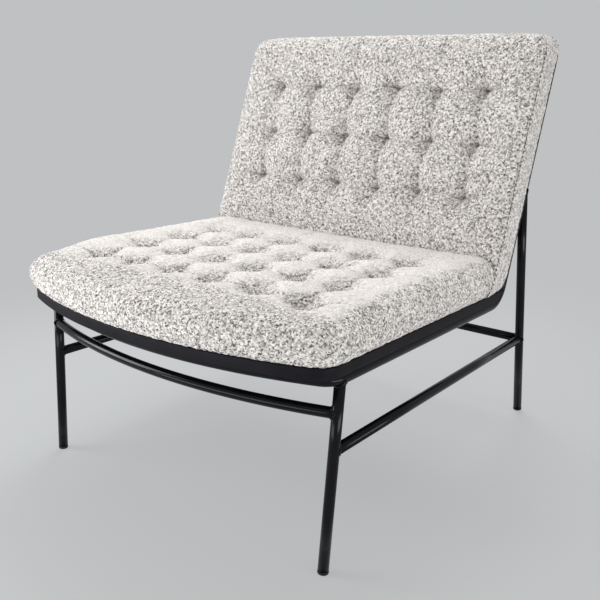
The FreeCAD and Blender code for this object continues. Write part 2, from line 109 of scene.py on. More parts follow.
# The back cushion
SEAM_DEPTH = 0.0826
BACK_REAR = 0.0083
BACK_BOARD = 0.008
BACK_THICK = 0.0746
BACK_HALF = 0.313
BACK_SPREAD = 0.009
BACK_FOOT = 0.0253
BACK_TOP = 0.452
BACK_MIDDLE = 0.25
BACK_CORNER = 0.03
CROWN = 0.0085
CROWN_RUN = 0.025
CROWN_FOOT = 0.058
CROWN_RISE = 0.02
FOOT_TUCK = 0.6

# Tufts: columns, rows, their pitches and the first row's place
SEAT_TUFTS = (6, 4, 0.0856, 0.096, PLATFORM_APEX + 0.131)
BACK_TUFTS = (6, 3, 0.0915, -0.095, 0.357)

# Round a tuft the cover is pinned within the hold and free to swell beyond the span
TUFT_HOLD = 0.0045
TUFT_SPAN = 0.045
CLOTH_FRAMES = 23

# The camera as it was fitted to the photograph: its place and the angles of its view
CAMERA_PLACE = (0.82906, -1.03575, 0.67987)
CAMERA_AZIMUTH = 0.662
CAMERA_ELEVATION = 0.302

# Lamps: name, place, aim, width and height, and the property with the power
SOFTBOXES = (
    ("key_softbox", (-0.6, 1.0, 2.2), (0.0, 0.0, 0.3), (1.3, 1.3), "key"),
    ("fill_softbox", (2.2, -0.3, 0.35), (0.0, 0.0, 0.35), (1.6, 0.6), "fill"),
    ("side_softbox", (-1.8, -1.3, 1.0), (0.0, 0.0, 0.4), (1.0, 1.2), "side"),
    ("low_softbox", (-0.2, -1.2, 0.2), (0.0, -0.3, 0.3), (1.0, 0.3), "low"),
)


def seat_to_row(points):
    """Seat plane to chair: turned down at the rear by the pitch, and moved to the leg tops."""
    x, y, z = np.moveaxis(np.asarray(points, float), -1, 0)
    c, s = math.cos(PITCH), math.sin(PITCH)
    return np.stack([x, y * c + z * s, z * c - y * s], -1) + SEAT_ORIGIN


def back_to_row(points):
    """Back plane to chair: x across, y up the back, z forward of the uprights' axes."""
    x, t, n = np.moveaxis(np.asarray(points, float), -1, 0)
    c, s = math.cos(RECLINE), math.sin(RECLINE)
    return np.stack([x, t * s - n * c, t * c + n * s], -1) + BACK_ORIGIN


def row_to_back(points):
    """The inverse of back_to_row."""
    x, y, z = np.moveaxis(np.asarray(points, float) - BACK_ORIGIN, -1, 0)
    c, s = math.cos(RECLINE), math.sin(RECLINE)
    return np.stack([x, y * s + z * c, z * s - y * c], -1)


def direction(to_row, x, y, z):
    """A direction of the seat's or the back's plane, in the chair."""
    return to_row([x, y, z]) - to_row([0.0, 0.0, 0.0])


def rise(value, start, run):
    """0 up to the start, 1 a run beyond it and the cubic 3v^2 - 2v^3 between."""
    share = np.clip((value - start) / run, 0.0, 1.0)
    return share * share * (3.0 - 2.0 * share)


def mirror_x(point):
    """A point, direction or path on the chair's other side: x with its sign changed."""
    return np.asarray(point, float) * np.array([-1.0, 1.0, 1.0])


def unit(vectors):
    """Vectors divided by their lengths."""
    return vectors / np.linalg.norm(vectors, axis=-1, keepdims=True)


def at_height(foot, top, height):
    """Point of the line from foot to top at a height."""
    return foot + (top - foot) * (height - foot[2]) / (top[2] - foot[2])


REAR_TOP = back_to_row([RAIL_X, REAR_JOINT, 0.0])
LEGS = (("front", FRONT_FOOT, FRONT_TOP), ("rear", REAR_FOOT, REAR_TOP))
SIDE_FRONT = at_height(FRONT_FOOT, FRONT_TOP, SIDE_STRETCHER_FRONT)
SIDE_REAR = at_height(REAR_FOOT, REAR_TOP, SIDE_STRETCHER_REAR)


# Meshes from grids of points

def smooth_mesh(points, faces):
    """A mesh of points and faces, shaded smooth."""
    mesh = bpy.data.meshes.new("shape")
    mesh.from_pydata(points.tolist(), [], faces)
    mesh.polygons.foreach_set("use_smooth", np.ones(len(mesh.polygons), bool))
    return mesh


def ring_quads(a, b):
    """Quads between rings of point numbers and the rings next to them, each ring closed."""
    return np.stack([a, b, np.roll(b, -1, -1), np.roll(a, -1, -1)], -1).reshape(-1, 4)


def grid_mesh(points, wrap_rows=False):
    """Closed mesh of a grid of points, rows by columns, each row a closed ring.

    Faces join neighbours in the grid. wrap_rows closes the last row to the
    first; else the first and the last ring are closed, each with one more point
    at its middle.
    """
    rows, columns = points.shape[:2]
    index = np.arange(rows * columns).reshape(rows, columns)
    if wrap_rows:
        index = np.vstack([index, index[:1]])
    flat = points.reshape(-1, 3)
    faces = ring_quads(index[:-1], index[1:]).tolist()
    if not wrap_rows:
        count = len(flat)
        flat = np.vstack([flat, points[0].mean(0), points[-1].mean(0)])
        first, last = index[0], index[-1]
        start = np.stack([first, np.roll(first, -1), np.full(columns, count)], -1)
        end = np.stack([np.roll(last, -1), last, np.full(columns, count + 1)], -1)
        faces += start.tolist() + end.tolist()
    mesh = smooth_mesh(flat, faces)
    mesh.validate()
    return outward(mesh)


def outward(mesh):
    """Turns the faces of a closed mesh outward: its signed volume is made positive."""
    mesh.calc_loop_triangles()
    triangles = np.empty(len(mesh.loop_triangles) * 3, np.int64)
    mesh.loop_triangles.foreach_get("vertices", triangles)
    corner = coordinates(mesh)[triangles.reshape(-1, 3)]
    volume = np.einsum("ij,ij->", corner[:, 0], np.cross(corner[:, 1], corner[:, 2]))
    if volume < 0:
        mesh.flip_normals()
    return mesh


def vectors_of(items, name):
    """The named vectors of a mesh's items, one to a row."""
    flat = np.empty(len(items) * 3, np.float32)
    items.foreach_get(name, flat)
    return flat.reshape(-1, 3).astype(float)


def coordinates(mesh):
    """Places of the mesh's vertices."""
    return vectors_of(mesh.vertices, "co")


def vertex_normals(mesh):
    """Outward directions at the mesh's vertices."""
    return vectors_of(mesh.vertex_normals, "vector")


def set_coordinates(mesh, points):
    """Moves the mesh's vertices to new places."""
    mesh.vertices.foreach_set("co", np.asarray(points, np.float32).ravel())
    mesh.update()


def joined_mesh(meshes):
    """One mesh of several, laid end to end."""
    whole = bmesh.new()
    for mesh in meshes:
        whole.from_mesh(mesh)
        bpy.data.meshes.remove(mesh)
    result = bpy.data.meshes.new("shape")
    whole.to_mesh(result)
    whole.free()
    return result


def add_piece(name, mesh, material, stands_for=()):
    """Links a finished mesh as a piece of the chair and gives it its finish."""
    mesh.name = name
    piece = bpy.data.objects.new(name, mesh)
    bpy.context.scene.collection.objects.link(piece)
    mesh.materials.clear()
    mesh.materials.append(material)
    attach(piece, "root")
    if stands_for:
        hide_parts(*stands_for)
    return piece


# Paths and bodies carried along them

def line_points(start, end, count):
    """Even points of a line: start and end mixed by the share done."""
    share = np.linspace(0.0, 1.0, count)[:, None]
    return np.asarray(start) * (1 - share) + np.asarray(end) * share


def arc_points(centre, start, end, count):
    """Arc about centre: the two radii mixed by the sines of the angles left and done."""
    centre, start, end = (np.asarray(p, float) for p in (centre, start, end))
    u, v = start - centre, end - centre
    angle = math.acos(np.dot(u, v) / np.linalg.norm(u) / np.linalg.norm(v))
    share = np.linspace(0.0, 1.0, count)[:, None]
    mix = np.sin((1 - share) * angle) * u + np.sin(share * angle) * v
    return centre + mix / math.sin(angle)


def plane_arc(x, y, radius, angle):
    """Points of a plane at the radius from (x, y), at the angles from the x axis."""
    return np.stack([x + radius * np.cos(angle), y + radius * np.sin(angle)], -1)


def square_to(axis):
    """Two unit directions square to a unit axis and to each other."""
    first = unit(np.cross(axis, np.eye(3)[np.argmin(np.abs(axis))]))
    return first, np.cross(axis, first)


def circle(first, second, sides):
    """Unit circle: cos a of the first direction plus sin a of the second."""
    angle = np.linspace(0.0, 2 * np.pi, sides, endpoint=False)[:, None]
    return np.cos(angle) * first[..., None, :] + np.sin(angle) * second[..., None, :]


def frames_along(path, closed):
    """Directions across a path that turn as little as possible along it.

    Each station's first direction is the last one's, less its part along the
    new tangent. On a closed path the turn left over at the end is shared out.
    """
    ahead = np.roll(path, -1, 0) - path
    behind = path - np.roll(path, 1, 0)
    if not closed:
        ahead[-1], behind[0] = behind[-1], ahead[0]
    ahead, behind = unit(ahead), unit(behind)
    tangent = unit(ahead + behind)
    first = [square_to(tangent[0])[0]]
    for station in list(range(1, len(path))) + [0] * closed:
        along = tangent[station] * np.dot(first[-1], tangent[station])
        first.append(unit(first[-1] - along))
    turn = 0.0
    if closed:
        last = first.pop()
        second = np.cross(tangent[0], first[0])
        turn = math.atan2(np.dot(last, second), np.dot(last, first[0]))
    first = np.array(first)
    second = np.cross(tangent, first)
    untwist = -turn * np.arange(len(path)) / len(path)
    c, s = np.cos(untwist)[:, None], np.sin(untwist)[:, None]
    stretch = 1.0 / np.einsum("ij,ij->i", tangent, ahead)
    bend = np.cross(behind, ahead)
    size = np.linalg.norm(bend, axis=1)[:, None]
    bend = np.where(size > 1e-9, bend / np.maximum(size, 1e-9), 0.0)
    return first * c + second * s, second * c - first * s, np.cross(tangent, bend), stretch


def swept_tube(path, radius, sides=28, closed=False):
    """Round tube: a circle of the radius carried along the path, square to it.

    In a bend the ring is stretched by one over the cosine of half the turn, so
    that the tube keeps its thickness.
    """
    first, second, outer, stretch = frames_along(path, closed)
    ring = circle(first, second, sides) * radius
    along = np.einsum("ijk,ik->ij", ring, outer)
    ring += (along * (stretch - 1.0)[:, None])[..., None] * outer[:, None]
    return grid_mesh(path[:, None] + ring, wrap_rows=closed)


def turned_body(base, axis, profile, sides=32):
    """Body of revolution: each (radius, height) of the profile turned about the axis."""
    axis = unit(axis)
    ring = circle(*square_to(axis), sides)
    radius, height = np.asarray(profile, float).T[..., None, None]
    return grid_mesh(base + radius * ring + height * axis)


def half_loop():
    """Right half of the frame's long tube, from the front middle over the seat and up the back."""
    bow_centre = np.array([0.0, RAIL_BOW_CENTRE, 0.0])
    on_bow = RAIL_CORNER + unit(RAIL_CORNER - bow_centre) * RAIL_CORNER_RADIUS
    on_side = RAIL_CORNER + np.array([RAIL_CORNER_RADIUS, 0.0, 0.0])
    bend = np.array([RAIL_X, RAIL_RUN - BEND_TANGENT, 0.0])
    seat = seat_to_row(np.vstack([
        arc_points(bow_centre, [0.0, RAIL_BOW_APEX, 0.0], on_bow, 18),
        arc_points(RAIL_CORNER, on_bow, on_side, 16),
        line_points(on_side, bend, 8)]))
    inner, under = RAIL_X - HOOP_CORNER, UPRIGHT - HOOP_CORNER
    back = back_to_row(np.vstack([
        line_points([RAIL_X, BEND_TANGENT, 0.0], [RAIL_X, under, 0.0], 8),
        arc_points([inner, under, 0.0], [RAIL_X, under, 0.0], [inner, UPRIGHT, 0.0], 16),
        line_points([inner, UPRIGHT, 0.0], [0.0, UPRIGHT, 0.0], 6)]))
    centre = seat_to_row(bend + np.array([0.0, 0.0, BEND_RADIUS]))
    points = np.vstack([seat, arc_points(centre, seat[-1], back[0], 16), back])
    step = np.linalg.norm(np.diff(points, axis=0), axis=1)
    return points[np.concatenate([[True], step > 1e-7])]


def front_stretcher_path():
    """Arc in the level plane through both legs' axes, its middle forward by the sagitta."""
    end = at_height(FRONT_FOOT, FRONT_TOP, BOW_STRETCHER_HEIGHT)
    sag = BOW_STRETCHER_SAG
    radius = (end[0] ** 2 + sag ** 2) / (2 * sag)
    lean = math.asin(end[0] / radius)
    angle = np.linspace(-lean, lean, 49)
    middle = np.array([0.0, end[1] - sag + radius, end[2]])
    return middle + radius * np.stack([np.sin(angle), -np.cos(angle), 0 * angle], -1)


# Outlines of the platform and the cushions

def whole_ring(right, level):
    """Closed ring at a level, of its right half from middle to middle and the mirrored one."""
    ring = np.vstack([right, right[-2:0:-1] * np.array([-1.0, 1.0])])
    return np.column_stack([ring, np.full(len(ring), level)])


def seat_ring(inset, level, rear):
    """Plan of the seat at an inset from the platform's edge, from the rear middle by the right.

    Straight rear edge and sides, corner arcs and the bow's arc, with the same
    number of points on each stretch whatever the inset.
    """
    half = PLATFORM_HALF - inset
    bow, corner = PLATFORM_BOW - inset, max(PLATFORM_CORNER - inset, 0.002)
    bow_centre = PLATFORM_APEX + inset + bow
    cx = half - corner
    cy = bow_centre - math.sqrt((bow - corner) ** 2 - cx ** 2)
    end = math.atan2(cy - bow_centre, cx)
    return whole_ring(np.vstack([
        line_points([0.0, rear], [half, rear], 30)[:-1],
        line_points([half, rear], [half, cy], 45),
        plane_arc(cx, cy, corner, np.linspace(0.0, end, 15)[1:]),
        plane_arc(0.0, bow_centre, bow, np.linspace(end, -math.pi / 2, 45)[1:]),
    ]), level)


def bend_hollow(height):
    """Half of a cushion's run inside the tube's bend, at a height off the tube's plane."""
    return math.sqrt(max(BEND_CLEAR ** 2 - (BEND_RADIUS - height) ** 2, 0.0))


def stacked(rings, middle, low, high):
    """Rings as a grid, with more of them shrunk toward the middles at the two levels."""
    shares = np.array([0.05, 0.3, 0.6, 0.85])[:, None, None]
    rings = np.array(rings)
    centre_low, centre_high = np.array([[0.0, middle, low], [0.0, middle, high]])
    return np.concatenate([centre_low + (rings[0] - centre_low) * shares, rings,
                           centre_high + (rings[-1] - centre_high) * shares[::-1]])


def front_fall(x, y, level):
    """Levels of the seat's top, lowered toward the bowed front edge.

    The fall is a share of the height above the platform. It grows as a smooth
    step from nothing FRONT_RUN behind FRONT_FLAT to FRONT_DROP at the edge.
    """
    behind = PLATFORM_BOW - np.hypot(x, y - PLATFORM_APEX - PLATFORM_BOW)
    drop = FRONT_DROP * (1.0 - rise(behind, FRONT_FLAT, FRONT_RUN))
    return level - drop * np.clip((level - PLATFORM_TOP) / SEAT_THICK, 0.0, 1.0)


def side_swell(height):
    """How far the seat cushion's side stands outside the platform at a height above it.

    An arc from just inside the platform's edge at the foot to the widest
    place, which is upright; above that it keeps the widest value.
    """
    radius = (SIDE_RUN ** 2 + SIDE_HEIGHT ** 2) / (2 * SIDE_RUN)
    below = np.clip(SIDE_HEIGHT - height, 0.0, SIDE_HEIGHT)
    return SIDE_OUT - (radius - np.sqrt(radius ** 2 - below ** 2))


def seat_blank():
    """Seat cushion before tufting: the plan carried up the edge's section.

    Up the side the plan stands out by side_swell; the rim is a quarter circle
    over to the top, which falls slightly to the middle. The rear is the plane
    of the back cushion's front.
    """
    swell = np.linspace(0.0, SIDE_HEIGHT, 9)
    roll = np.linspace(0.0, np.pi / 2, 12)[1:]
    insets = np.concatenate([[0.02], -side_swell(swell),
                             -SIDE_OUT + RIM_RADIUS * (1 - np.cos(roll)), [0.031, 0.036]])
    heights = np.concatenate([[0.0], swell, SIDE_HEIGHT + RIM_RADIUS * np.sin(roll),
                              [0.0652, SEAT_THICK]])
    foot = PLATFORM_TOP + SEAT_LIFT
    levels = foot + heights
    rears = (RAIL_RUN + (levels - SEAM_DEPTH * math.sin(LEAN)) * math.tan(LEAN)
             - SEAM_DEPTH * math.cos(LEAN) - SEAT_REAR_GAP)
    rings = [seat_ring(*ring) for ring in zip(insets, levels, rears)]
    return stacked(rings, SEAT_MIDDLE, foot, PLATFORM_TOP + SEAT_THICK)


def back_half(depth):
    """Half width of the back cushion, which spreads evenly from its board to its seam."""
    return BACK_HALF + BACK_SPREAD * (depth - BACK_BOARD) / BACK_THICK


def back_ring(inset, depth, corner):
    """Outline of the back cushion at a depth forward of the uprights' axes.

    Straight level top with round corners and sides that draw in at the foot
    as the seat cushion's sides do.
    """
    half = back_half(depth) - inset
    top = BACK_TOP + (SEAM_DEPTH - min(depth, SEAM_DEPTH)) * math.tan(RECLINE) - inset
    foot = (BACK_FOOT - depth * math.sin(LEAN)) / math.cos(LEAN)
    if depth < BEND_RADIUS:
        foot = max(foot, BEND_TANGENT - bend_hollow(depth))
    foot += inset
    side = line_points([half, foot], [half, top - corner], 50)
    height = side[:, 1] * math.cos(LEAN) + depth * math.sin(LEAN) - PLATFORM_TOP
    side[:, 0] -= FOOT_TUCK * (SIDE_OUT - side_swell(height))
    turn = np.linspace(0.0, np.pi / 2, 14)[1:]
    return whole_ring(np.vstack([
        line_points([0.0, foot], [side[0, 0], foot], 30)[:-1],
        side,
        plane_arc(half - corner, top - corner, corner, turn),
        line_points([half - corner, top], [0.0, top], 30)[1:],
    ]), depth)


def back_blank():
    """Back cushion before tufting: flat rear, straight gusset, a front that rolls over its seam.

    The front's crown is a quarter ellipse, and fades to nothing at the foot.
    """
    rings = [back_ring(0.004, BACK_REAR, 0.026), back_ring(0.0008, BACK_REAR + 0.0006, 0.0292)]
    for depth in np.linspace(BACK_REAR + 0.003, SEAM_DEPTH - 0.002, 12):
        rings.append(back_ring(0.0, depth, BACK_CORNER))
    for inset in (0.0005, 0.004, 0.009, 0.016, CROWN_RUN):
        ring = back_ring(inset, SEAM_DEPTH, BACK_CORNER - inset)
        crown = CROWN * math.sqrt(1 - (1 - inset / CROWN_RUN) ** 2)
        ring[:, 2] += crown * rise(ring[:, 1], CROWN_FOOT, CROWN_RISE)
        rings.append(ring)
    points = stacked(rings, BACK_MIDDLE, BACK_REAR, SEAM_DEPTH + CROWN)
    beyond = np.maximum(points[:, :, 2] - SEAM_DEPTH, 0.0)
    points[:, :, 2] -= beyond * (1.0 - rise(points[:, :, 1], CROWN_FOOT, CROWN_RISE))
    return points


def outline_gap(x, t, depth):
    """Distance inside the back cushion's outline at a depth: of a box with round top corners."""
    top = BACK_TOP + (SEAM_DEPTH - depth) * math.tan(RECLINE)
    dx = np.abs(x) - (back_half(depth) - BACK_CORNER)
    dt = t - (top - BACK_CORNER)
    beyond = np.hypot(np.maximum(dx, 0.0), np.maximum(dt, 0.0))
    return BACK_CORNER - np.where((dx > 0) | (dt > 0), beyond, np.maximum(dx, dt))


# Tufts, pleats and loops

def tuft_places(columns, rows, pitch_x, pitch_y, first):
    """Places of a pattern's columns, even about the middle, and of its rows."""
    x = (np.arange(columns) - (columns - 1) / 2) * pitch_x
    return x, np.sort(first + np.arange(rows) * pitch_y)


def nudged(x, y, look):
    """Places pushed about by slow sine waves, so that no two tufts are alike."""
    return (x + look.unevenness * np.sin(31.0 * y + 17.0 * x),
            y + look.unevenness * np.sin(37.0 * x - 11.0 * y + 1.0))


def tuft_field(x, y, tufts, look):
    """Where places lie in the pattern, for its columns and for its rows.

    The distance to the nearest one, the share of the way from a tuft to the
    middle between two, and the fade past the last one.
    """
    columns, rows = tufts
    x, y = nudged(x, y, look)
    past_y = np.maximum(np.clip(rows[0] - y, 0.0, None), np.clip(y - rows[-1], 0.0, None))
    for place, lines, past in ((x, columns, np.clip(np.abs(x) - columns[-1], 0.0, None)),
                               (y, rows, past_y)):
        gap = np.min(np.abs(place[:, None] - lines), 1)
        share = np.clip(2 * gap / (lines[1] - lines[0]), 0.0, 1.0)
        yield gap, share, np.exp(-past / look.pleat_reach)


def tuft_gap(x, y, tufts, look):
    """Distance to the nearest tuft."""
    return np.hypot(*(gap for gap, _, _ in tuft_field(x, y, tufts, look)))


def tufted_drop(x, y, tufts, look, bowl_depth, bowl_reach, valley_depth):
    """How far the cover is drawn down by its tufts at places (x, y).

    Each tuft sinks a bell, its depth times e to minus the square of the
    distance over the reach, and a pinch that fades as e to minus the distance.
    Along columns and rows run valleys, shallowest half way between tufts.
    """
    (ex, share_x, fade_x), (ey, share_y, fade_y) = tuft_field(x, y, tufts, look)
    bowl = np.exp(-(ex ** 2 + ey ** 2) / bowl_reach ** 2)
    row = np.exp(-ey / look.valley_width) * (1.0 - 0.35 * share_x) * fade_x
    column = np.exp(-ex / look.valley_width) * (1.0 - 0.35 * share_y) * fade_y
    pinch = np.exp(-np.hypot(ex, ey) / look.pinch_reach)
    return (bowl_depth * bowl + look.pinch_depth * pinch
            + valley_depth * np.maximum(0.7 * row, column))


def crease_drop(x, y, tufts, look):
    """Depth of the sharp crease at the bottom of the valleys.

    It fades across as e to minus the distance, along a column half way between
    tufts to a quarter, and along a row to nothing.
    """
    (ex, share_x, fade_x), (ey, share_y, fade_y) = tuft_field(x, y, tufts, look)
    column = np.exp(-ex / look.crease_width) * (1.0 - 0.75 * share_y) * fade_y
    row = np.exp(-ey / look.crease_width) * (1.0 - share_x) ** 2 * fade_x
    return look.crease_depth * np.maximum(column, row)


def pleat_drop(x, y, tufts, look):
    """Depth of the pleats that run from each tuft along its row.

    A pleat leaves its tuft at a slope that the sine of the tuft's number
    gives, narrow across and fading along as e to minus the distance. Outward
    of the outer columns the pleats are nearly level and reach further.
    """
    columns, rows = tufts
    x, y = nudged(x, y, look)
    column = np.argmin(np.abs(x[:, None] - columns), 1)
    row = np.argmin(np.abs(y[:, None] - rows), 1)
    across, along = y - rows[row], x - columns[column]
    number = column * 12.9 + row * 78.2 + np.where(along < 0, 1.0, 2.0) * 37.7
    outer = np.abs(x) > columns[-1]
    slope = 0.35 * np.sin(number) * np.where(outer, 0.3, 1.0)
    strength = 0.65 + 0.35 * np.sin(number * 1.7 + 1.0)
    reach = np.where(outer, 2.0, 1.0) * look.pleat_reach
    away = np.abs(along)
    groove = np.exp(-((across - slope * away) / look.pleat_width) ** 2)
    return look.pleat_depth * strength * groove * np.exp(-away / reach)


def pleated(points, tufts, look, mask):
    """Sinks pleats and creases into points of a cushion's plane where the mask lets them.

    Gives each place's painted fold shade, the share by which the material darkens the yarn for the
    shade in the folds: the pleat's share of its depth, or near 1 at a tuft's thread.
    """
    x, y = points[:, 0], points[:, 1]
    pleats = pleat_drop(x, y, tufts, look) * mask
    points[:, 2] -= pleats + crease_drop(x, y, tufts, look) * mask
    thread = np.exp(-(tuft_gap(x, y, tufts, look) / (2.0 * look.pleat_width)) ** 2)
    return np.maximum(np.clip(pleats / look.pleat_depth, 0.0, 1.0), thread) * mask


def loop_heights(points, size):
    """Height of the yarn loops: 1 on a crest, 0 between them.

    Space is cut into cubes of the size. Each holds one loop at a place that
    the sine of its corner's number gives, and the height falls with the
    squared distance to the nearest loop.
    """
    cell = np.floor(points / size)
    nearest = np.full(len(points), 9.0)
    for shift in np.ndindex(3, 3, 3):
        corner = cell + np.array(shift) - 1.0
        number = corner @ np.array([[127.1, 269.5, 113.5], [311.7, 183.3, 271.9],
                                    [74.7, 246.1, 124.6]])
        place = corner + np.modf(np.abs(np.sin(number)) * 4375.85)[0]
        nearest = np.minimum(nearest, ((points / size - place) ** 2).sum(1))
    return np.clip(1.0 - nearest / 0.7, 0.0, 1.0)


# Cushions

def modified(mesh, kind, **settings):
    """A new mesh of the mesh under one modifier."""
    piece = bpy.data.objects.new("blank", mesh)
    bpy.context.scene.collection.objects.link(piece)
    modifier = piece.modifiers.new("Step", kind)
    for name, value in settings.items():
        setattr(modifier, name, value)
    graph = bpy.context.evaluated_depsgraph_get()
    graph.update()
    result = bpy.data.meshes.new_from_object(piece.evaluated_get(graph))
    bpy.data.objects.remove(piece)
    return result


def swollen(mesh, pinned, travel, pressure, slack):
    """Cloth simulation: the cover is let out by the slack and blown up against its pinned points.

    No point moves further than its travel: a move m becomes travel times
    tanh(m / travel), which leaves short moves as they are.
    """
    start = coordinates(mesh)
    piece = bpy.data.objects.new("swelling", mesh)
    scene = bpy.context.scene
    scene.collection.objects.link(piece)
    group = piece.vertex_groups.new(name="pinned")
    group.add(np.flatnonzero(pinned).tolist(), 1.0, "REPLACE")
    cloth = piece.modifiers.new("Cover", "CLOTH")
    settings = cloth.settings
    settings.quality = 5
    settings.mass = 0.3
    settings.tension_stiffness = settings.compression_stiffness = 15.0
    settings.shear_stiffness = 5.0
    settings.bending_stiffness = 0.5
    settings.vertex_group_mass = "pinned"
    settings.effector_weights.gravity = 0.0
    settings.use_pressure = True
    settings.uniform_pressure_force = pressure
    settings.shrink_min = settings.shrink_max = -slack
    cloth.collision_settings.use_collision = False
    cloth.point_cache.frame_start = 1
    cloth.point_cache.frame_end = CLOTH_FRAMES + 1
    for step in range(1, CLOTH_FRAMES):
        scene.frame_set(step)
    graph = bpy.context.evaluated_depsgraph_get()
    moved = coordinates(piece.evaluated_get(graph).to_mesh())
    scene.frame_set(1)
    piece.modifiers.remove(cloth)
    bpy.data.objects.remove(piece)
    move = moved - start
    length = np.linalg.norm(move, axis=1)
    limit = np.maximum(travel, 1e-6)
    share = limit * np.tanh(length / limit) / np.maximum(length, 1e-9)
    set_coordinates(mesh, start + move * share[:, None])


def filled(mesh, pinned, travel, pressure, slack):
    swollen(mesh, pinned, travel, pressure, slack)
    return modified(mesh, "SUBSURF", levels=1, render_levels=1)


def finish_cover(mesh, look, calm, fold):
    """Raises the yarn loops along the cover's normals, less where the cover is even.

    Stores, for the material, how even each vertex is, which on the seat's top also marks painted
    light from above, and its painted fold shade for the shade in pleats and at tufts' threads.
    """
    for name, values in (("calm", calm), ("fold", fold)):
        layer = mesh.attributes.new(name, "FLOAT", "POINT")
        layer.data.foreach_set("value", np.asarray(values, np.float32))
    points = coordinates(mesh)
    height = 0.6 * loop_heights(points, look.loop_size) \
        + 0.4 * loop_heights(points + 0.37, look.loop_size * 1.7)
    lift = (height - 0.5) * look.loop_height * (1.0 - 0.5 * calm)
    set_coordinates(mesh, points + vertex_normals(mesh) * lift[:, None])
    return mesh


def seat_mesh(look):
    """Tufted seat cushion in its finished shape.

    Its foot, its rear and its tufts are pinned while it is blown up. A faint waist is drawn in
    over the foot of its front. Its level, upward-facing parts get lower loops and are painted an
    even, lighter cream: painted light, for the light from above on the loop tops.
    """
    mesh = modified(grid_mesh(seat_blank()), "REMESH", mode="VOXEL", voxel_size=look.voxel)
    tufts = tuft_places(*SEAT_TUFTS)
    points = coordinates(mesh)
    x, y, level = points.T
    height = level - PLATFORM_TOP
    drop = tufted_drop(x, y, tufts, look, look.seat_bowl, look.seat_reach, look.seat_valley)
    points[:, 2] = front_fall(x, y, level - drop * rise(height, 0.040, 0.022))
    set_coordinates(mesh, points)
    gap = tuft_gap(x, y, tufts, look)
    rear_gap = row_to_back(seat_to_row(points))[:, 2] - SEAM_DEPTH
    pinned = (height < 0.003) | (rear_gap < 0.002) | ((gap < TUFT_HOLD) & (height > 0.03))
    side = 1.0 - rise(height, 0.045, 0.02)
    travel = (0.0015 + 0.0025 * rise(gap, 0.0, TUFT_SPAN)) * (1 - side) + 0.003 * side
    mesh = filled(mesh, pinned, travel, look.seat_pressure, look.slack)
    points = coordinates(mesh)
    x, y, level = points.T
    height = level - PLATFORM_TOP
    # Painted shade: marks where the material darkens the yarn for the shade in the pleats and at
    # the tufts' threads
    fold = pleated(points, tufts, look, rise(height, 0.035, 0.02))
    waist = 0.0008 * np.exp(-((height - 0.033) / 0.0018) ** 2)
    waist *= (1.0 - rise(y, -0.01, 0.03)) * (1.0 - rise(np.abs(x + 0.1), 0.02, 0.08))
    points -= vertex_normals(mesh) * waist[:, None]
    set_coordinates(mesh, points)
    # Painted light: the seat's upward-facing top is marked for an even, lighter cream that stands
    # in for the light from above; its loops are also lowered there
    calm = rise(vertex_normals(mesh)[:, 2], 0.82, 0.15) * rise(height, 0.046, 0.014)
    calm *= rise(y, tufts[1][0] - 0.06, 0.035)
    set_coordinates(mesh, seat_to_row(points))
    return finish_cover(mesh, look, look.seat_even_and_lit * calm, fold)


def back_mesh(look):
    """Tufted back cushion in its finished shape.

    Its rear, its foot, its front seam and its tufts are pinned while it is
    blown up. Then its two seams are drawn in along the normals, as bells.
    """
    mesh = modified(grid_mesh(back_blank()), "REMESH", mode="VOXEL", voxel_size=look.voxel)
    tufts = tuft_places(*BACK_TUFTS)
    points = coordinates(mesh)
    x, t, depth = points.T
    edge = outline_gap(x, t, SEAM_DEPTH)
    drop = tufted_drop(x, t, tufts, look, look.back_bowl, look.back_reach, look.back_valley)
    drop *= rise(depth, SEAM_DEPTH - 0.002, 0.006) * (0.25 + 0.75 * rise(edge, 0.0, 0.02))
    points[:, 2] -= drop * rise(t, 0.075, 0.03)
    set_coordinates(mesh, points)
    gap = tuft_gap(x, t, tufts, look)
    pinned = (np.hypot(depth - SEAM_DEPTH, edge) < 0.0035) | (depth < BACK_REAR + 0.004)
    pinned |= ((gap < TUFT_HOLD) & (depth > 0.06)) | (t < 0.06)
    travel = 0.0015 + 0.0065 * rise(gap, 0.0, TUFT_SPAN) * (depth > SEAM_DEPTH - 0.03)
    mesh = filled(mesh, pinned, travel, look.back_pressure, look.slack)
    points = coordinates(mesh)
    x, t, depth = points.T
    edge = outline_gap(x, t, SEAM_DEPTH)
    # Painted shade: marks where the material darkens the yarn for the shade in the pleats and at
    # the tufts' threads
    fold = pleated(points, tufts, look, rise(depth, 0.055, 0.01) * rise(edge, 0.0, 0.01))
    near = np.hypot(depth - SEAM_DEPTH, edge)
    rear = np.hypot(depth - BACK_REAR - 0.003, outline_gap(x, t, BACK_REAR))
    groove = 0.0022 * np.exp(-(near / 0.0026) ** 2) + 0.001 * np.exp(-(rear / 0.0022) ** 2)
    points -= vertex_normals(mesh) * groove[:, None]
    set_coordinates(mesh, points)
    gusset = 1.0 - rise(depth, SEAM_DEPTH - 0.003, 0.002)
    gusset *= outline_gap(x, t, SEAM_DEPTH) < 0.012
    set_coordinates(mesh, back_to_row(points))
    return finish_cover(mesh, look, look.gusset_calm * gusset, fold)


def seam_path(depth, out, count):
    """Even places along the back cushion's seam at a depth, up one side, over and down again."""
    ring = back_ring(-out, depth, BACK_CORNER + out)
    half = ring[29:len(ring) // 2 + 1]
    path = np.vstack([half, mirror_x(half[-2::-1])])
    length = np.concatenate([[0.0], np.cumsum(np.linalg.norm(np.diff(path, axis=0), axis=1))])
    place = np.linspace(0.0, length[-1], count)
    return np.stack([np.interp(place, length, path[:, axis]) for axis in range(3)], -1)


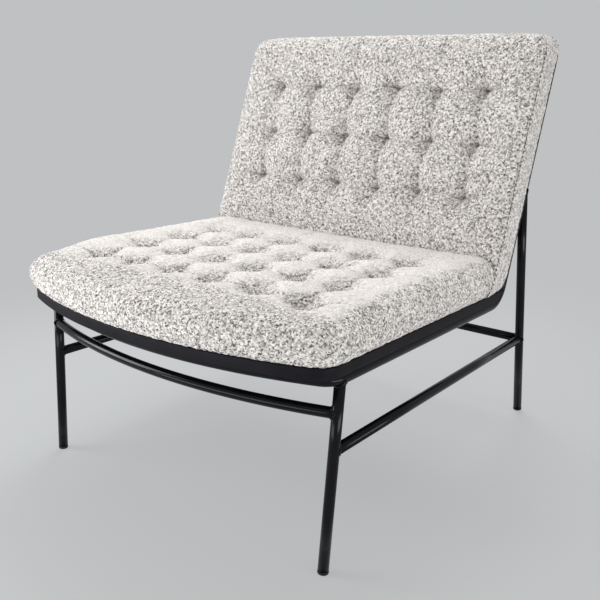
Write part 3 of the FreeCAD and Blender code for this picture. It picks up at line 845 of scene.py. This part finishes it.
def stitch_mesh(path, length_share, highest=1.0):
    """Sewn stitches along a path: one short spindle for each step that starts below a height.

    A spindle's ring lies at a share of the step, has the radius times the sine
    of pi times that share, and bows in by the sink at the ends.
    """
    radius, sink = 0.0008, 0.0012
    shown = path[:-1, 1] < highest
    start, step = path[:-1][shown], np.diff(path, axis=0)[shown]
    tangent = unit(step)
    out = start - np.array([0.0, 0.2, 0.04])
    out = unit(out - tangent * np.einsum("ij,ij->i", out, tangent)[:, None])
    share = np.linspace(0.0, 1.0, 7)[:, None]
    centre = start[:, None] + step[:, None] * (share * length_share)
    centre = centre - out[:, None] * (sink * np.cos(np.pi * share) ** 2)
    fat = radius * np.clip(np.sin(np.pi * share), 0.25, 1.0)
    spoke = circle(out[:, None], np.cross(tangent, out)[:, None], 8)
    points = centre[:, :, None] + spoke * fat[..., None]
    index = np.arange(points[..., 0].size).reshape(points.shape[:3])
    quads = ring_quads(index[:, :-1], index[:, 1:])[:, [0, 3, 2, 1]]
    ends = np.concatenate([index[:, 0, ::-1], index[:, -1]])
    return smooth_mesh(back_to_row(points.reshape(-1, 3)), quads.tolist() + ends.tolist())


def weld_mesh(point, branch, carrier, tube_radius, bead):
    """Weld bead on the curve where one round tube meets another of the same size.

    A point of the curve lies on the branch at an angle about its axis and at
    the distance along it where its own distance from the carrier's axis is
    the tube's radius, which is the larger root of a quadratic.
    """
    branch, carrier = unit(branch), unit(carrier)
    first = unit(carrier - branch * np.dot(carrier, branch))
    reach = tube_radius + 0.25 * bead
    spoke = reach * circle(first, np.cross(branch, first), 64)
    flat = spoke - np.outer(spoke @ carrier, carrier)
    run = branch - carrier * np.dot(branch, carrier)
    a, b, c = np.dot(run, run), flat @ run, (flat ** 2).sum(1) - reach ** 2
    root = (-b + np.sqrt(np.maximum(b * b - a * c, (0.15 * tube_radius) ** 2 * a))) / a
    return swept_tube(point + spoke + root[:, None] * branch, bead, sides=10, closed=True)


# Materials

def plug(node, sockets):
    """Sets a node's inputs: a socket is linked, a colour made opaque, a value taken as it is."""
    for name, value in sockets.items():
        socket = node.inputs[name]
        if isinstance(value, bpy.types.NodeSocket):
            node.id_data.links.new(value, socket)
        elif socket.type == "RGBA":
            socket.default_value = (*value, 1.0)
        else:
            socket.default_value = value


def add_node(tree, kind, sockets, **settings):
    """A new node with its settings and its inputs."""
    node = tree.nodes.new(kind)
    for name, value in settings.items():
        setattr(node, name, value)
    plug(node, sockets)
    return node


def new_material(name):
    """A material with its tree, its shader and the places that its patterns read."""
    material = bpy.data.materials.new(name)
    material.use_nodes = True
    tree = material.node_tree
    place = add_node(tree, "ShaderNodeTexCoord", {}).outputs["Object"]
    return material, tree, tree.nodes["Principled BSDF"], place


def shared(name, make, *choices):
    """A material made once and then reused by name."""
    return bpy.data.materials.get(name) or make(*choices)


def ramp(tree, source, stops):
    """Colour ramp of (place, colour) stops."""
    node = add_node(tree, "ShaderNodeValToRGB", {"Fac": source})
    elements = node.color_ramp.elements
    while len(elements) < len(stops):
        elements.new(0.5)
    for element, (place, colour) in zip(elements, stops):
        element.position = place
        element.color = (*colour, 1.0)
    return node.outputs["Color"]


def noise(tree, place, scale, detail, distortion=0.0):
    """The outputs of a noise pattern."""
    return add_node(tree, "ShaderNodeTexNoise", {
        "Vector": place, "Scale": scale, "Detail": detail, "Distortion": distortion}).outputs


def relief(tree, shader, height, strength, depth):
    """Bumps the shader's surface by a height."""
    bump = add_node(tree, "ShaderNodeBump", {
        "Height": height, "Strength": strength, "Distance": depth})
    plug(shader, {"Normal": bump.outputs["Normal"]})


def maths(tree, operation, first, second):
    """The result of an operation on two numbers or sockets."""
    return add_node(tree, "ShaderNodeMath", {0: first, 1: second}, operation=operation).outputs[0]


def vector_maths(tree, operation, sockets):
    """The outputs of an operation on vectors."""
    return add_node(tree, "ShaderNodeVectorMath", sockets, operation=operation).outputs


def mixed(tree, blend, share, first, second):
    """Two colours mixed; the share and either colour may be a socket or a value."""
    return add_node(tree, "ShaderNodeMix", {0: share, 6: first, 7: second},
                    data_type="RGBA", blend_type=blend).outputs[2]


def grey(value):
    """A colour with three equal parts."""
    return (value, value, value)


def boucle(look):
    """Boucle: curled loops of cream yarn with grey and black slubs, matt with a soft sheen.

    Warped cells give the loops' height and, by a number for each cell, their colour; finer cells
    and noise give the yarn's own fuzz. Painted shade darkens the gaps between the loops. By the
    mesh's attributes the colour tends to an even, lighter cream, which on the seat's top is
    painted light from above, and to a dark tone that is painted shade in the pleats and at the
    tufts' threads.
    """
    material, tree, shader, place = new_material("cream_boucle")
    warp = noise(tree, place, 210.0, 2.0)["Color"]
    shift = vector_maths(tree, "SUBTRACT", {0: warp, 1: grey(0.5)})[0]
    shift = vector_maths(tree, "SCALE", {0: shift, "Scale": 0.0042})[0]
    moved = vector_maths(tree, "ADD", {0: place, 1: shift})[0]
    loops, curls = (add_node(tree, "ShaderNodeTexVoronoi", {
        "Vector": moved, "Scale": count / look.loop_size}).outputs for count in (1.0, 2.3))
    curl, loop = (add_node(tree, "ShaderNodeSeparateColor", {"Color": cells["Color"]}).outputs
                  for cells in (curls, loops))
    dark = look.fleck_share
    yarn = ramp(tree, curl["Red"], (
        (0.0, look.fleck), (dark, grey(0.27)), (dark + 0.13, [0.64 * c for c in look.cream]),
        (dark + 0.30, look.cream), (1.0, [min(0.97, 1.08 * c) for c in look.cream])))
    slub = ramp(tree, loop["Green"], (
        (0.0, grey(0.62)), (0.10, grey(0.80)), (0.25, grey(1.0)), (1.0, grey(1.0))))
    yarn = mixed(tree, "MULTIPLY", 0.8, yarn, slub)
    # Painted shade between the loops: the yarn is darkened in the gaps between loop cells and
    # lightened a little on the loop tops
    loop_gap_shade = ramp(tree, loops["Distance"], (
        (0.0, grey(1.05)), (0.40, grey(1.0)), (0.68, grey(0.68)), (0.95, grey(0.42))))
    yarn = mixed(tree, "MULTIPLY", 1.0, yarn, loop_gap_shade)
    cloudy = ramp(tree, noise(tree, place, 14.0, 2.0)["Fac"], (
        (0.3, (0.97, 0.965, 0.955)), (0.7, grey(1.0))))
    yarn = mixed(tree, "MULTIPLY", 0.7, yarn, cloudy)
    # Painted light and shade from the mesh's attributes: the even, lighter cream on the seat's top
    # stands in for light from above, and the dark fold colour stands in for shade in the pleats
    # and at the tufts' threads
    calm, fold = (add_node(tree, "ShaderNodeAttribute", {}, attribute_name=name).outputs["Fac"]
                  for name in ("calm", "fold"))
    yarn = mixed(tree, "MIX", calm, yarn, look.calm)
    yarn = mixed(tree, "MIX", maths(tree, "MULTIPLY", fold, 0.8), yarn, look.fold)
    height = maths(tree, "SUBTRACT", 1.0, loops["Distance"])
    for part, strength in ((curls["Distance"], -0.45),
                           (noise(tree, place, 900.0, 3.0)["Fac"], 0.25)):
        height = maths(tree, "ADD", height, maths(tree, "MULTIPLY", part, strength))
    relief(tree, shader, height, look.bump, 0.0022)
    plug(shader, {"Base Color": yarn, "Roughness": 0.95, "Specular IOR Level": 0.15,
                  "Sheen Weight": 0.25, "Sheen Roughness": 0.6})
    return material


def powder_coat(name, colour, roughness, shine, grain=1400.0, depth=0.00004):
    """Satin black coating: fine orange peel, roughness that drifts, a faint dusty lightening."""
    material, tree, shader, place = new_material(name)
    drift = noise(tree, place, 35.0, 4.0)["Fac"]
    dust = ramp(tree, drift, ((0.35, colour), (0.75, [1.35 * c + 0.002 for c in colour])))
    rough = add_node(tree, "ShaderNodeMapRange", {
        "Value": drift, "To Min": max(roughness - 0.05, 0.05), "To Max": roughness + 0.08})
    plug(shader, {"Base Color": dust, "Roughness": rough.outputs["Result"],
                  "Specular IOR Level": shine})
    relief(tree, shader, noise(tree, place, grain, 2.0)["Fac"], 0.5, depth)
    return material


def steel_finish(look):
    """The frame's black powder coat."""
    return shared("black_powder_coat", powder_coat, "black_powder_coat", look.steel,
                  look.steel_roughness, 0.17)


def plywood():
    """Birch ply: long pale grain with darker lines along x and fine pores."""
    material, tree, shader, place = new_material("birch_ply")
    stretch = add_node(tree, "ShaderNodeMapping", {"Vector": place, "Scale": (4.0, 60.0, 60.0)})
    grain = noise(tree, stretch.outputs[0], 1.5, 8.0, 0.6)["Fac"]
    colour = ramp(tree, grain, (
        (0.3, (0.40, 0.27, 0.15)), (0.5, (0.58, 0.43, 0.27)), (0.75, (0.68, 0.53, 0.36))))
    plug(shader, {"Base Color": colour, "Roughness": 0.7})
    relief(tree, shader, grain, 0.3, 0.0003)
    return material


def thread(colour):
    """Waxed sewing thread: two plies that show as fine slanting bands."""
    material, tree, shader, place = new_material("sewing_thread")
    plies = add_node(tree, "ShaderNodeTexWave", {
        "Vector": place, "Scale": 420.0, "Distortion": 1.5}, bands_direction="DIAGONAL")
    shade = ramp(tree, plies.outputs["Fac"], (
        (0.0, [0.6 * c for c in colour]), (1.0, [1.4 * c for c in colour])))
    plug(shader, {"Base Color": shade, "Roughness": 0.6})
    return material


# Properties

def metres(name, description, default, low, high):
    """A length that the user may change."""
    return bpy.props.FloatProperty(name=name, description=description, default=default,
                                   min=low, max=high, unit="LENGTH")


def factor(name, description, default, low=0.0, high=1.0):
    """A share that the user may change."""
    return bpy.props.FloatProperty(name=name, description=description, default=default,
                                   min=low, max=high, subtype="FACTOR")


def tint(name, description, default):
    """A colour that the user may change."""
    return bpy.props.FloatVectorProperty(name=name, description=description, default=default,
                                         size=3, subtype="COLOR", min=0.0, max=1.0)


def watts(name, description, default):
    """A lamp's power that the user may change."""
    return bpy.props.FloatProperty(name=name, description=description, default=default,
                                   min=0.0, max=500.0, unit="POWER")


def amount(name, description, default, low, high):
    """A plain number that the user may change."""
    return bpy.props.FloatProperty(name=name, description=description, default=default,
                                   min=low, max=high)


class CHAIR_PG_frame(bpy.types.PropertyGroup):
    """Sizes and finish of the steel frame."""

    tube_radius: metres("Tube radius", "Outside radius of the frame tube", 0.008, 0.004, 0.02)
    weld_bead: metres("Weld bead", "Radius of the bead round each welded joint",
                      0.0014, 0.0005, 0.004)
    steel: tint("Steel", "Colour of the powder coat on the tubes", (0.003, 0.003, 0.0045))
    steel_roughness: factor("Steel roughness", "Roughness of the powder coat", 0.15, 0.05)
    board: tint("Platform", "Colour of the platform's lacquer", (0.009, 0.0085, 0.0115))
    plastic: tint("Glides", "Colour of the plastic glides", (0.008, 0.008, 0.009))


class CHAIR_PG_cushions(bpy.types.PropertyGroup):
    """Shape and finish of the two cushions."""

    voxel: metres("Mesh size", "Size of the cover's quads before they are divided",
                  0.004, 0.003, 0.01)
    seat_bowl: metres("Seat bowls", "Depth of the wide bowl round each tuft of the seat",
                      0.0145, 0.0, 0.03)
    seat_reach: metres("Seat bowl reach", "Distance in which a bowl of the seat fades",
                       0.030, 0.005, 0.06)
    back_bowl: metres("Back bowls", "Depth of the wide bowl round each tuft of the back",
                      0.009, 0.0, 0.03)
    back_reach: metres("Back bowl reach", "Distance in which a bowl of the back fades",
                       0.024, 0.005, 0.06)
    seat_valley: metres("Seat valleys", "Depth of the soft valleys between the seat's tufts",
                        0.005, 0.0, 0.02)
    back_valley: metres("Back valleys", "Depth of the soft valleys between the back's tufts",
                        0.011, 0.0, 0.02)
    valley_width: metres("Valley width", "Half width of the soft valleys", 0.011, 0.004, 0.04)
    unevenness: metres("Unevenness", "How far tufts and valleys stray from their grid",
                       0.0015, 0.0, 0.01)
    pinch_depth: metres("Pinch depth", "Depth that a tuft's thread pinches the cover in",
                        0.005, 0.0, 0.03)
    pinch_reach: metres("Pinch reach", "Distance in which a tuft's pinch fades",
                        0.008, 0.004, 0.04)
    crease_depth: metres("Crease depth", "Depth of the sharp crease along the valleys",
                         0.003, 0.0, 0.01)
    crease_width: metres("Crease width", "Distance in which the crease fades to each side",
                         0.0035, 0.001, 0.02)
    pleat_depth: metres("Pleat depth", "Depth of the narrow pleats beside each tuft",
                        0.005, 0.0, 0.01)
    pleat_width: metres("Pleat width", "Half width of the narrow pleats", 0.0020, 0.001, 0.01)
    pleat_reach: metres("Pleat reach", "Distance in which pleats and valleys fade",
                        0.022, 0.005, 0.1)
    seat_pressure: amount("Seat pressure", "Filling pressure of the seat cushion",
                          4.0, 0.0, 30.0)
    back_pressure: amount("Back pressure", "Filling pressure of the back cushion",
                          4.0, 0.0, 30.0)
    slack: factor("Slack", "Share by which the cover is cut larger than its form",
                  0.01, 0.0, 0.2)
    loop_size: metres("Loop size", "Distance between the boucle's loops", 0.0046, 0.002, 0.01)
    loop_height: metres("Loop height", "Height of the boucle's loops", 0.0022, 0.0, 0.004)
    bump: factor("Yarn relief", "Strength of the yarn's fine relief", 0.7)
    cream: tint("Cream", "Colour of the boucle's main yarn", (0.90, 0.855, 0.818))
    fleck: tint("Fleck", "Colour of the boucle's dark slubs", (0.06, 0.058, 0.055))
    # Painted light: on the seat's top this lighter, even cream stands in for the light from above;
    # on the gusset it is the strip's evener yarn
    calm: tint("Calm yarn", "Colour that the cover tends to where its loops lie even",
               (0.875, 0.832, 0.79))
    # Painted shade: the dark colour that stands in for the shade deep in the pleats and at the
    # tufts' threads
    fold: tint("Yarn in folds", "Colour that the cover tends to deep in its pleats",
               (0.12, 0.115, 0.105))
    # Painted light: how far the seat's upward-facing top is painted the lighter, even cream
    seat_even_and_lit: factor("Calm seat", "How even the cover is on the level parts of the seat", 0.62)
    gusset_calm: factor("Calm gusset", "How even the cover is on the back's boxing strip", 0.1)
    fleck_share: factor("Fleck share", "Share of the curls that are dark", 0.14, 0.0, 0.5)
    stitch: tint("Stitches", "Colour of the sewing thread", (0.05, 0.048, 0.045))


class CHAIR_PG_stage(bpy.types.PropertyGroup):
    """Floor, background, lights and camera."""

    backdrop: tint("Backdrop", "Colour of the background", (0.521, 0.533, 0.539))
    floor: tint("Floor", "Colour of the floor under the chair", (0.62, 0.634, 0.641))
    sky: amount("Surrounding light", "Strength of the even light from all sides",
                0.50, 0.0, 2.0)
    key: watts("Key light", "Power of the softbox above the rear left", 40.0)
    fill: watts("Fill light", "Power of the softbox at the right", 17.0)
    side: watts("Side light", "Power of the softbox at the front left", 33.0)
    low: watts("Low light", "Power of the low softbox before the seat's front", 3.8)
    lens: amount("Lens", "Focal length of the camera in millimetres", 46.38, 10.0, 200.0)


# Operators

def add_tube(name, path, look, stands_for, **sweep):
    """Sweeps one of the frame's tubes and adds it in its black coat."""
    add_piece(name, swept_tube(path, look.tube_radius, **sweep), steel_finish(look),
              stands_for)


class CHAIR_OT_frame_loop(bpy.types.Operator):
    """Make the one long tube that is bent round the seat and up over the back"""

    bl_idname = "chair.frame_loop"
    bl_label = "Frame loop"

    def execute(self, context):
        half = half_loop()
        path = np.vstack([half, mirror_x(half[-2:0:-1])])
        add_tube("frame_loop", path, context.scene.chair_frame, (
            "front_rail", "side_rail_left", "side_rail_right", "back_upright_left",
            "back_upright_right", "back_top_rail"), sides=32, closed=True)
        return {"FINISHED"}


class CHAIR_OT_legs(bpy.types.Operator):
    """Make the four straight legs, from their glides up to the tubes that carry them"""

    bl_idname = "chair.legs"
    bl_label = "Legs"

    def execute(self, context):
        for end, foot, top in LEGS:
            path = line_points(at_height(foot, top, GLIDE_LIP), top, 4)
            for hand, points in (("right", path), ("left", mirror_x(path))):
                name = f"{end}_leg_{hand}"
                add_tube(name + "_tube", points, context.scene.chair_frame, (name,))
        return {"FINISHED"}


class CHAIR_OT_stretchers(bpy.types.Operator):
    """Make the bowed front stretcher and the straight ones at the sides and rear"""

    bl_idname = "chair.stretchers"
    bl_label = "Stretchers"

    def execute(self, context):
        side = line_points(SIDE_FRONT, SIDE_REAR, 4)
        for name, path in (
                ("front_stretcher", front_stretcher_path()),
                ("side_stretcher_right", side),
                ("side_stretcher_left", mirror_x(side)),
                ("rear_stretcher", line_points(mirror_x(SIDE_REAR), SIDE_REAR, 4))):
            add_tube(name + "_tube", path, context.scene.chair_frame, (name,))
        return {"FINISHED"}


class CHAIR_OT_welds(bpy.types.Operator):
    """Make the weld beads where legs and stretchers meet the tubes that carry them"""

    bl_idname = "chair.welds"
    bl_label = "Weld beads"

    def execute(self, context):
        look = context.scene.chair_frame
        front, rear = FRONT_TOP - FRONT_FOOT, REAR_TOP - REAR_FOOT
        bow = front_stretcher_path()
        joints = (
            (FRONT_TOP, -front, direction(seat_to_row, 0.0, 1.0, 0.0)),
            (REAR_TOP, -rear, direction(back_to_row, 0.0, 1.0, 0.0)),
            (bow[-1], bow[-2] - bow[-1], front),
            (SIDE_FRONT, SIDE_REAR - SIDE_FRONT, front),
            (SIDE_REAR, SIDE_FRONT - SIDE_REAR, rear),
            (SIDE_REAR, mirror_x(SIDE_REAR) - SIDE_REAR, rear),
        )
        beads = []
        for joint in joints:
            for place in (joint, map(mirror_x, joint)):
                beads.append(weld_mesh(*place, look.tube_radius, look.weld_bead))
        add_piece("weld_beads", joined_mesh(beads), steel_finish(look))
        return {"FINISHED"}


class CHAIR_OT_platform(bpy.types.Operator):
    """Make the black seat platform with its bowed front and eased edges"""

    bl_idname = "chair.platform"
    bl_label = "Seat platform"

    def execute(self, context):
        ease = 0.0012
        turn = np.linspace(0.0, np.pi / 2, 5)
        rising, closing = ease * (1 - np.cos(turn)), ease * (1 - np.sin(turn))
        levels = np.concatenate([PLATFORM_LOW + rising, PLATFORM_TOP - closing])
        rings = []
        for inset, level in zip(np.concatenate([closing, rising]), levels):
            rear = RAIL_RUN - BEND_TANGENT + bend_hollow(level)
            rings.append(seat_ring(inset, level, rear))
        mesh = grid_mesh(seat_to_row(stacked(rings, SEAT_MIDDLE, PLATFORM_LOW, PLATFORM_TOP)))
        mesh.set_sharp_from_angle(angle=math.radians(35.0))
        finish = powder_coat("black_lacquer", context.scene.chair_frame.board, 0.5, 0.08,
                             700.0, 0.00005)
        add_piece("seat_platform_board", mesh, finish, ("seat_platform",))
        return {"FINISHED"}


class CHAIR_OT_seat_cushion(bpy.types.Operator):
    """Make the tufted seat cushion and swell its cover"""

    bl_idname = "chair.seat_cushion"
    bl_label = "Seat cushion"

    def execute(self, context):
        look = context.scene.chair_cushions
        piece = add_piece("seat_cushion", seat_mesh(look), shared("cream_boucle", boucle, look),
                          ("seat_cover", "seat_foam"))
        return {"FINISHED"}


class CHAIR_OT_back_cushion(bpy.types.Operator):
    """Make the tufted back cushion and swell its cover"""

    bl_idname = "chair.back_cushion"
    bl_label = "Back cushion"

    def execute(self, context):
        look = context.scene.chair_cushions
        piece = add_piece("back_cushion", back_mesh(look), shared("cream_boucle", boucle, look),
                          ("back_cover", "back_foam", "back_gusset",
                                     "back_rear_cover"))
        return {"FINISHED"}


class CHAIR_OT_stitching(bpy.types.Operator):
    """Sew the front and rear seams of the back cushion"""

    bl_idname = "chair.stitching"
    bl_label = "Stitching"

    def execute(self, context):
        finish = thread(context.scene.chair_cushions.stitch)
        front = seam_path(SEAM_DEPTH - 0.0005, -0.0006, 190)
        rear = seam_path(BACK_REAR + 0.004, 0.0004, 150)
        add_piece("front_seam_stitches", stitch_mesh(front, 0.72, BACK_TOP - BACK_CORNER),
                  finish)
        add_piece("rear_seam_stitches", stitch_mesh(rear, 0.6), finish)
        return {"FINISHED"}


class CHAIR_OT_screws(bpy.types.Operator):
    """Put the domed screws under the seat's cross bars and behind the back's"""

    bl_idname = "chair.screws"
    bl_label = "Screws"

    def execute(self, context):
        radius, rim = 0.0052, 0.0004
        dome = np.linspace(0.0, np.pi / 2, 8)[1:-1]
        profile = np.vstack([
            [[radius, 0.0], [radius, rim]],
            np.column_stack([radius * np.cos(dome), rim + 0.0021 * np.sin(dome)]),
            [[0.0015, 0.0024], [0.0013, 0.0012]],
        ])
        heads = []
        for x in (-SCREW_X, SCREW_X):
            for to_row, bars in ((seat_to_row, SEAT_BARS), (back_to_row, BACK_BARS)):
                for bar in bars:
                    heads.append(turned_body(to_row([x, bar, BAR_FACE]),
                                             direction(to_row, 0.0, 0.0, -1.0), profile, 24))
        finish = powder_coat("zinc_screw", (0.16, 0.16, 0.165), 0.35, 0.25, 900.0, 0.00003)
        plug(finish.node_tree.nodes["Principled BSDF"], {"Metallic": 0.9})
        add_piece("cushion_screws", joined_mesh(heads), finish)
        return {"FINISHED"}


class CHAIR_OT_glides(bpy.types.Operator):
    """Make the rounded plastic glides in the feet"""

    bl_idname = "chair.glides"
    bl_label = "Glides"

    def execute(self, context):
        finish = powder_coat("glide_plastic", context.scene.chair_frame.plastic, 0.45, 0.25,
                             500.0, 0.00006)
        sole, edge, plug_radius = 0.0058, 0.0024, 0.0064
        turn = np.linspace(0.0, np.pi / 2, 7)
        for end, foot, top in LEGS:
            lip = np.linalg.norm(at_height(foot, top, GLIDE_LIP) - foot)
            profile = np.vstack([
                [[0.003, 0.0]],
                np.column_stack([sole + edge * np.sin(turn), edge * (1 - np.cos(turn))]),
                [[0.0082, lip - 0.0004], [0.0080, lip], [plug_radius, lip],
                 [plug_radius, lip + 0.016]]])
            mesh = joined_mesh([turned_body(foot, top - foot, profile),
                                turned_body(mirror_x(foot), mirror_x(top - foot), profile)])
            points = coordinates(mesh)
            points[:, 2] = np.maximum(points[:, 2], 0.0)
            set_coordinates(mesh, points)
            add_piece(end + "_foot_glides", mesh, finish, (end + "_glides",))
        return {"FINISHED"}


class CHAIR_OT_hidden_parts(bpy.types.Operator):
    """Give the cross bars and the cushions' boards their finishes"""

    bl_idname = "chair.hidden_parts"
    bl_label = "Cross bars and boards"

    def execute(self, context):
        steel, wood = steel_finish(context.scene.chair_frame), plywood()
        for node, material, slot in (
                ("seat_cross_bar_front", steel, "black_steel"),
                ("seat_cross_bar_rear", steel, "black_steel"),
                ("back_cross_bar_lower", steel, "black_steel"),
                ("back_cross_bar_upper", steel, "black_steel"),
                ("seat_pad_board", wood, "plywood"),
                ("back_board", wood, "plywood")):
            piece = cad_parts[node]
            piece.data.materials.clear()
            piece.data.materials.append(material)
        return {"FINISHED"}


class CHAIR_OT_stage(bpy.types.Operator):
    """Lay the floor and set the background, the lights and the camera"""

    bl_idname = "chair.stage"
    bl_label = "Stage"

    def execute(self, context):
        look = context.scene.chair_stage
        scene = context.scene
        scene.view_settings.view_transform = "Standard"
        lay_floor(look)
        set_world(scene, look)
        for name, place, aim, size, power in SOFTBOXES:
            lamp = bpy.data.lights.new(name, "AREA")
            lamp.shape = "RECTANGLE"
            lamp.size, lamp.size_y = size
            lamp.energy = getattr(look, power)
            holder = bpy.data.objects.new(name, lamp)
            holder.location = place
            toward = Vector(aim) - Vector(place)
            holder.rotation_euler = toward.to_track_quat("-Z", "Y").to_euler()
            holder.visible_camera = False
            scene.collection.objects.link(holder)
        set_camera(scene, look)
        return {"FINISHED"}


def set_camera(scene, look):
    """Camera that looks against the direction of its azimuth and elevation, upright."""
    camera = bpy.data.cameras.new("photo_camera")
    camera.lens = look.lens
    camera.sensor_width = 36.0
    camera.clip_start, camera.clip_end = 0.05, 60.0
    holder = bpy.data.objects.new("photo_camera", camera)
    azimuth, elevation = CAMERA_AZIMUTH, CAMERA_ELEVATION
    back = Vector((math.sin(azimuth) * math.cos(elevation),
                   -math.cos(azimuth) * math.cos(elevation), math.sin(elevation)))
    right = Vector((math.cos(azimuth), math.sin(azimuth), 0.0))
    turned = Matrix((right, back.cross(right), back)).transposed().to_4x4()
    turned.translation = CAMERA_PLACE
    holder.matrix_world = turned
    scene.collection.objects.link(holder)
    scene.camera = holder


def seen_share(tree):
    """1 for rays of the camera, of gloss and of transmission, 0 for those that light things."""
    path = add_node(tree, "ShaderNodeLightPath", {}).outputs
    clear = maths(tree, "MAXIMUM", path["Is Camera Ray"], path["Is Transmission Ray"])
    return maths(tree, "MAXIMUM", clear, path["Is Glossy Ray"])


def lay_floor(look):
    """Round floor: mostly the background's own colour near the chair, and all of it far away."""
    radius = np.array([0.01, 0.5, 1.0, 2.0, 4.0, 12.0, 24.0])
    points = radius[:, None, None] * circle(*np.eye(3)[:2], 64)
    index = np.arange(points[..., 0].size).reshape(points.shape[:2])
    mesh = smooth_mesh(points.reshape(-1, 3),
                       ring_quads(index[:-1], index[1:]).tolist() + [index[0].tolist()])
    material, tree, shader, place = new_material("pale_floor")
    far = vector_maths(tree, "LENGTH", {0: place})["Value"]
    fade = add_node(tree, "ShaderNodeMapRange", {
        "Value": far, "From Min": 0.5, "From Max": 1.4, "To Min": 0.75},
        interpolation_type="SMOOTHSTEP")
    tone = ramp(tree, noise(tree, place, 3.0, 2.0)["Fac"], (
        (0.3, [0.995 * c for c in look.floor]), (0.7, look.floor)))
    plug(shader, {"Base Color": tone, "Roughness": 0.9, "Specular IOR Level": 0.0})
    plain = add_node(tree, "ShaderNodeEmission", {"Color": look.backdrop, "Strength": 1.0})
    share = maths(tree, "MULTIPLY", fade.outputs["Result"], seen_share(tree))
    both = add_node(tree, "ShaderNodeMixShader", {
        0: share, 1: shader.outputs["BSDF"], 2: plain.outputs["Emission"]})
    plug(tree.nodes["Material Output"], {"Surface": both.outputs["Shader"]})
    mesh.materials.append(material)
    floor = bpy.data.objects.new("floor", mesh)
    bpy.context.scene.collection.objects.link(floor)


def set_world(scene, look):
    """Even surrounding light; what the camera and gloss see is the background's colour."""
    world = bpy.data.worlds.new("studio")
    world.use_nodes = True
    tree = world.node_tree
    light = tree.nodes["Background"]
    plug(light, {"Color": grey(1.0), "Strength": look.sky})
    seen = add_node(tree, "ShaderNodeBackground", {"Color": look.backdrop, "Strength": 1.0})
    both = add_node(tree, "ShaderNodeMixShader", {
        0: seen_share(tree), 1: light.outputs[0], 2: seen.outputs[0]})
    plug(tree.nodes["World Output"], {"Surface": both.outputs[0]})
    scene.world = world


STEPS = (
    CHAIR_OT_stage, CHAIR_OT_frame_loop, CHAIR_OT_legs, CHAIR_OT_stretchers, CHAIR_OT_welds,
    CHAIR_OT_platform, CHAIR_OT_screws, CHAIR_OT_glides, CHAIR_OT_hidden_parts,
    CHAIR_OT_seat_cushion, CHAIR_OT_back_cushion, CHAIR_OT_stitching,
)


class CHAIR_PT_panel(bpy.types.Panel):
    """Sidebar list of the chair's pieces and their settings"""

    bl_idname = "CHAIR_PT_panel"
    bl_label = "Tufted lounge chair"
    bl_space_type = "VIEW_3D"
    bl_region_type = "UI"
    bl_category = "Chair"

    def draw(self, context):
        layout = self.layout
        for step in STEPS:
            layout.operator(step.bl_idname)
        for group in GROUPS:
            box = layout.box()
            settings = getattr(context.scene, group)
            for name in settings.bl_rna.properties.keys():
                if name not in ("rna_type", "name"):
                    box.prop(settings, name)


GROUPS = {"chair_frame": CHAIR_PG_frame, "chair_cushions": CHAIR_PG_cushions,
          "chair_stage": CHAIR_PG_stage}
CLASSES = (*GROUPS.values(), *STEPS, CHAIR_PT_panel)


def register():
    """Registers the classes and hangs the settings on the scene."""
    for cls in CLASSES:
        bpy.utils.register_class(cls)
    for name, group in GROUPS.items():
        setattr(bpy.types.Scene, name, bpy.props.PointerProperty(type=group))


def unregister():
    """Takes away what register added."""
    for name in GROUPS:
        delattr(bpy.types.Scene, name)
    for cls in reversed(CLASSES):
        bpy.utils.unregister_class(cls)


def main():
    """Makes every piece in order."""
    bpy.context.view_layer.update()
    register()
    for step in STEPS:
        group, name = step.bl_idname.split(".")
        getattr(getattr(bpy.ops, group), name)()


if __name__ == "__main__":
    main()
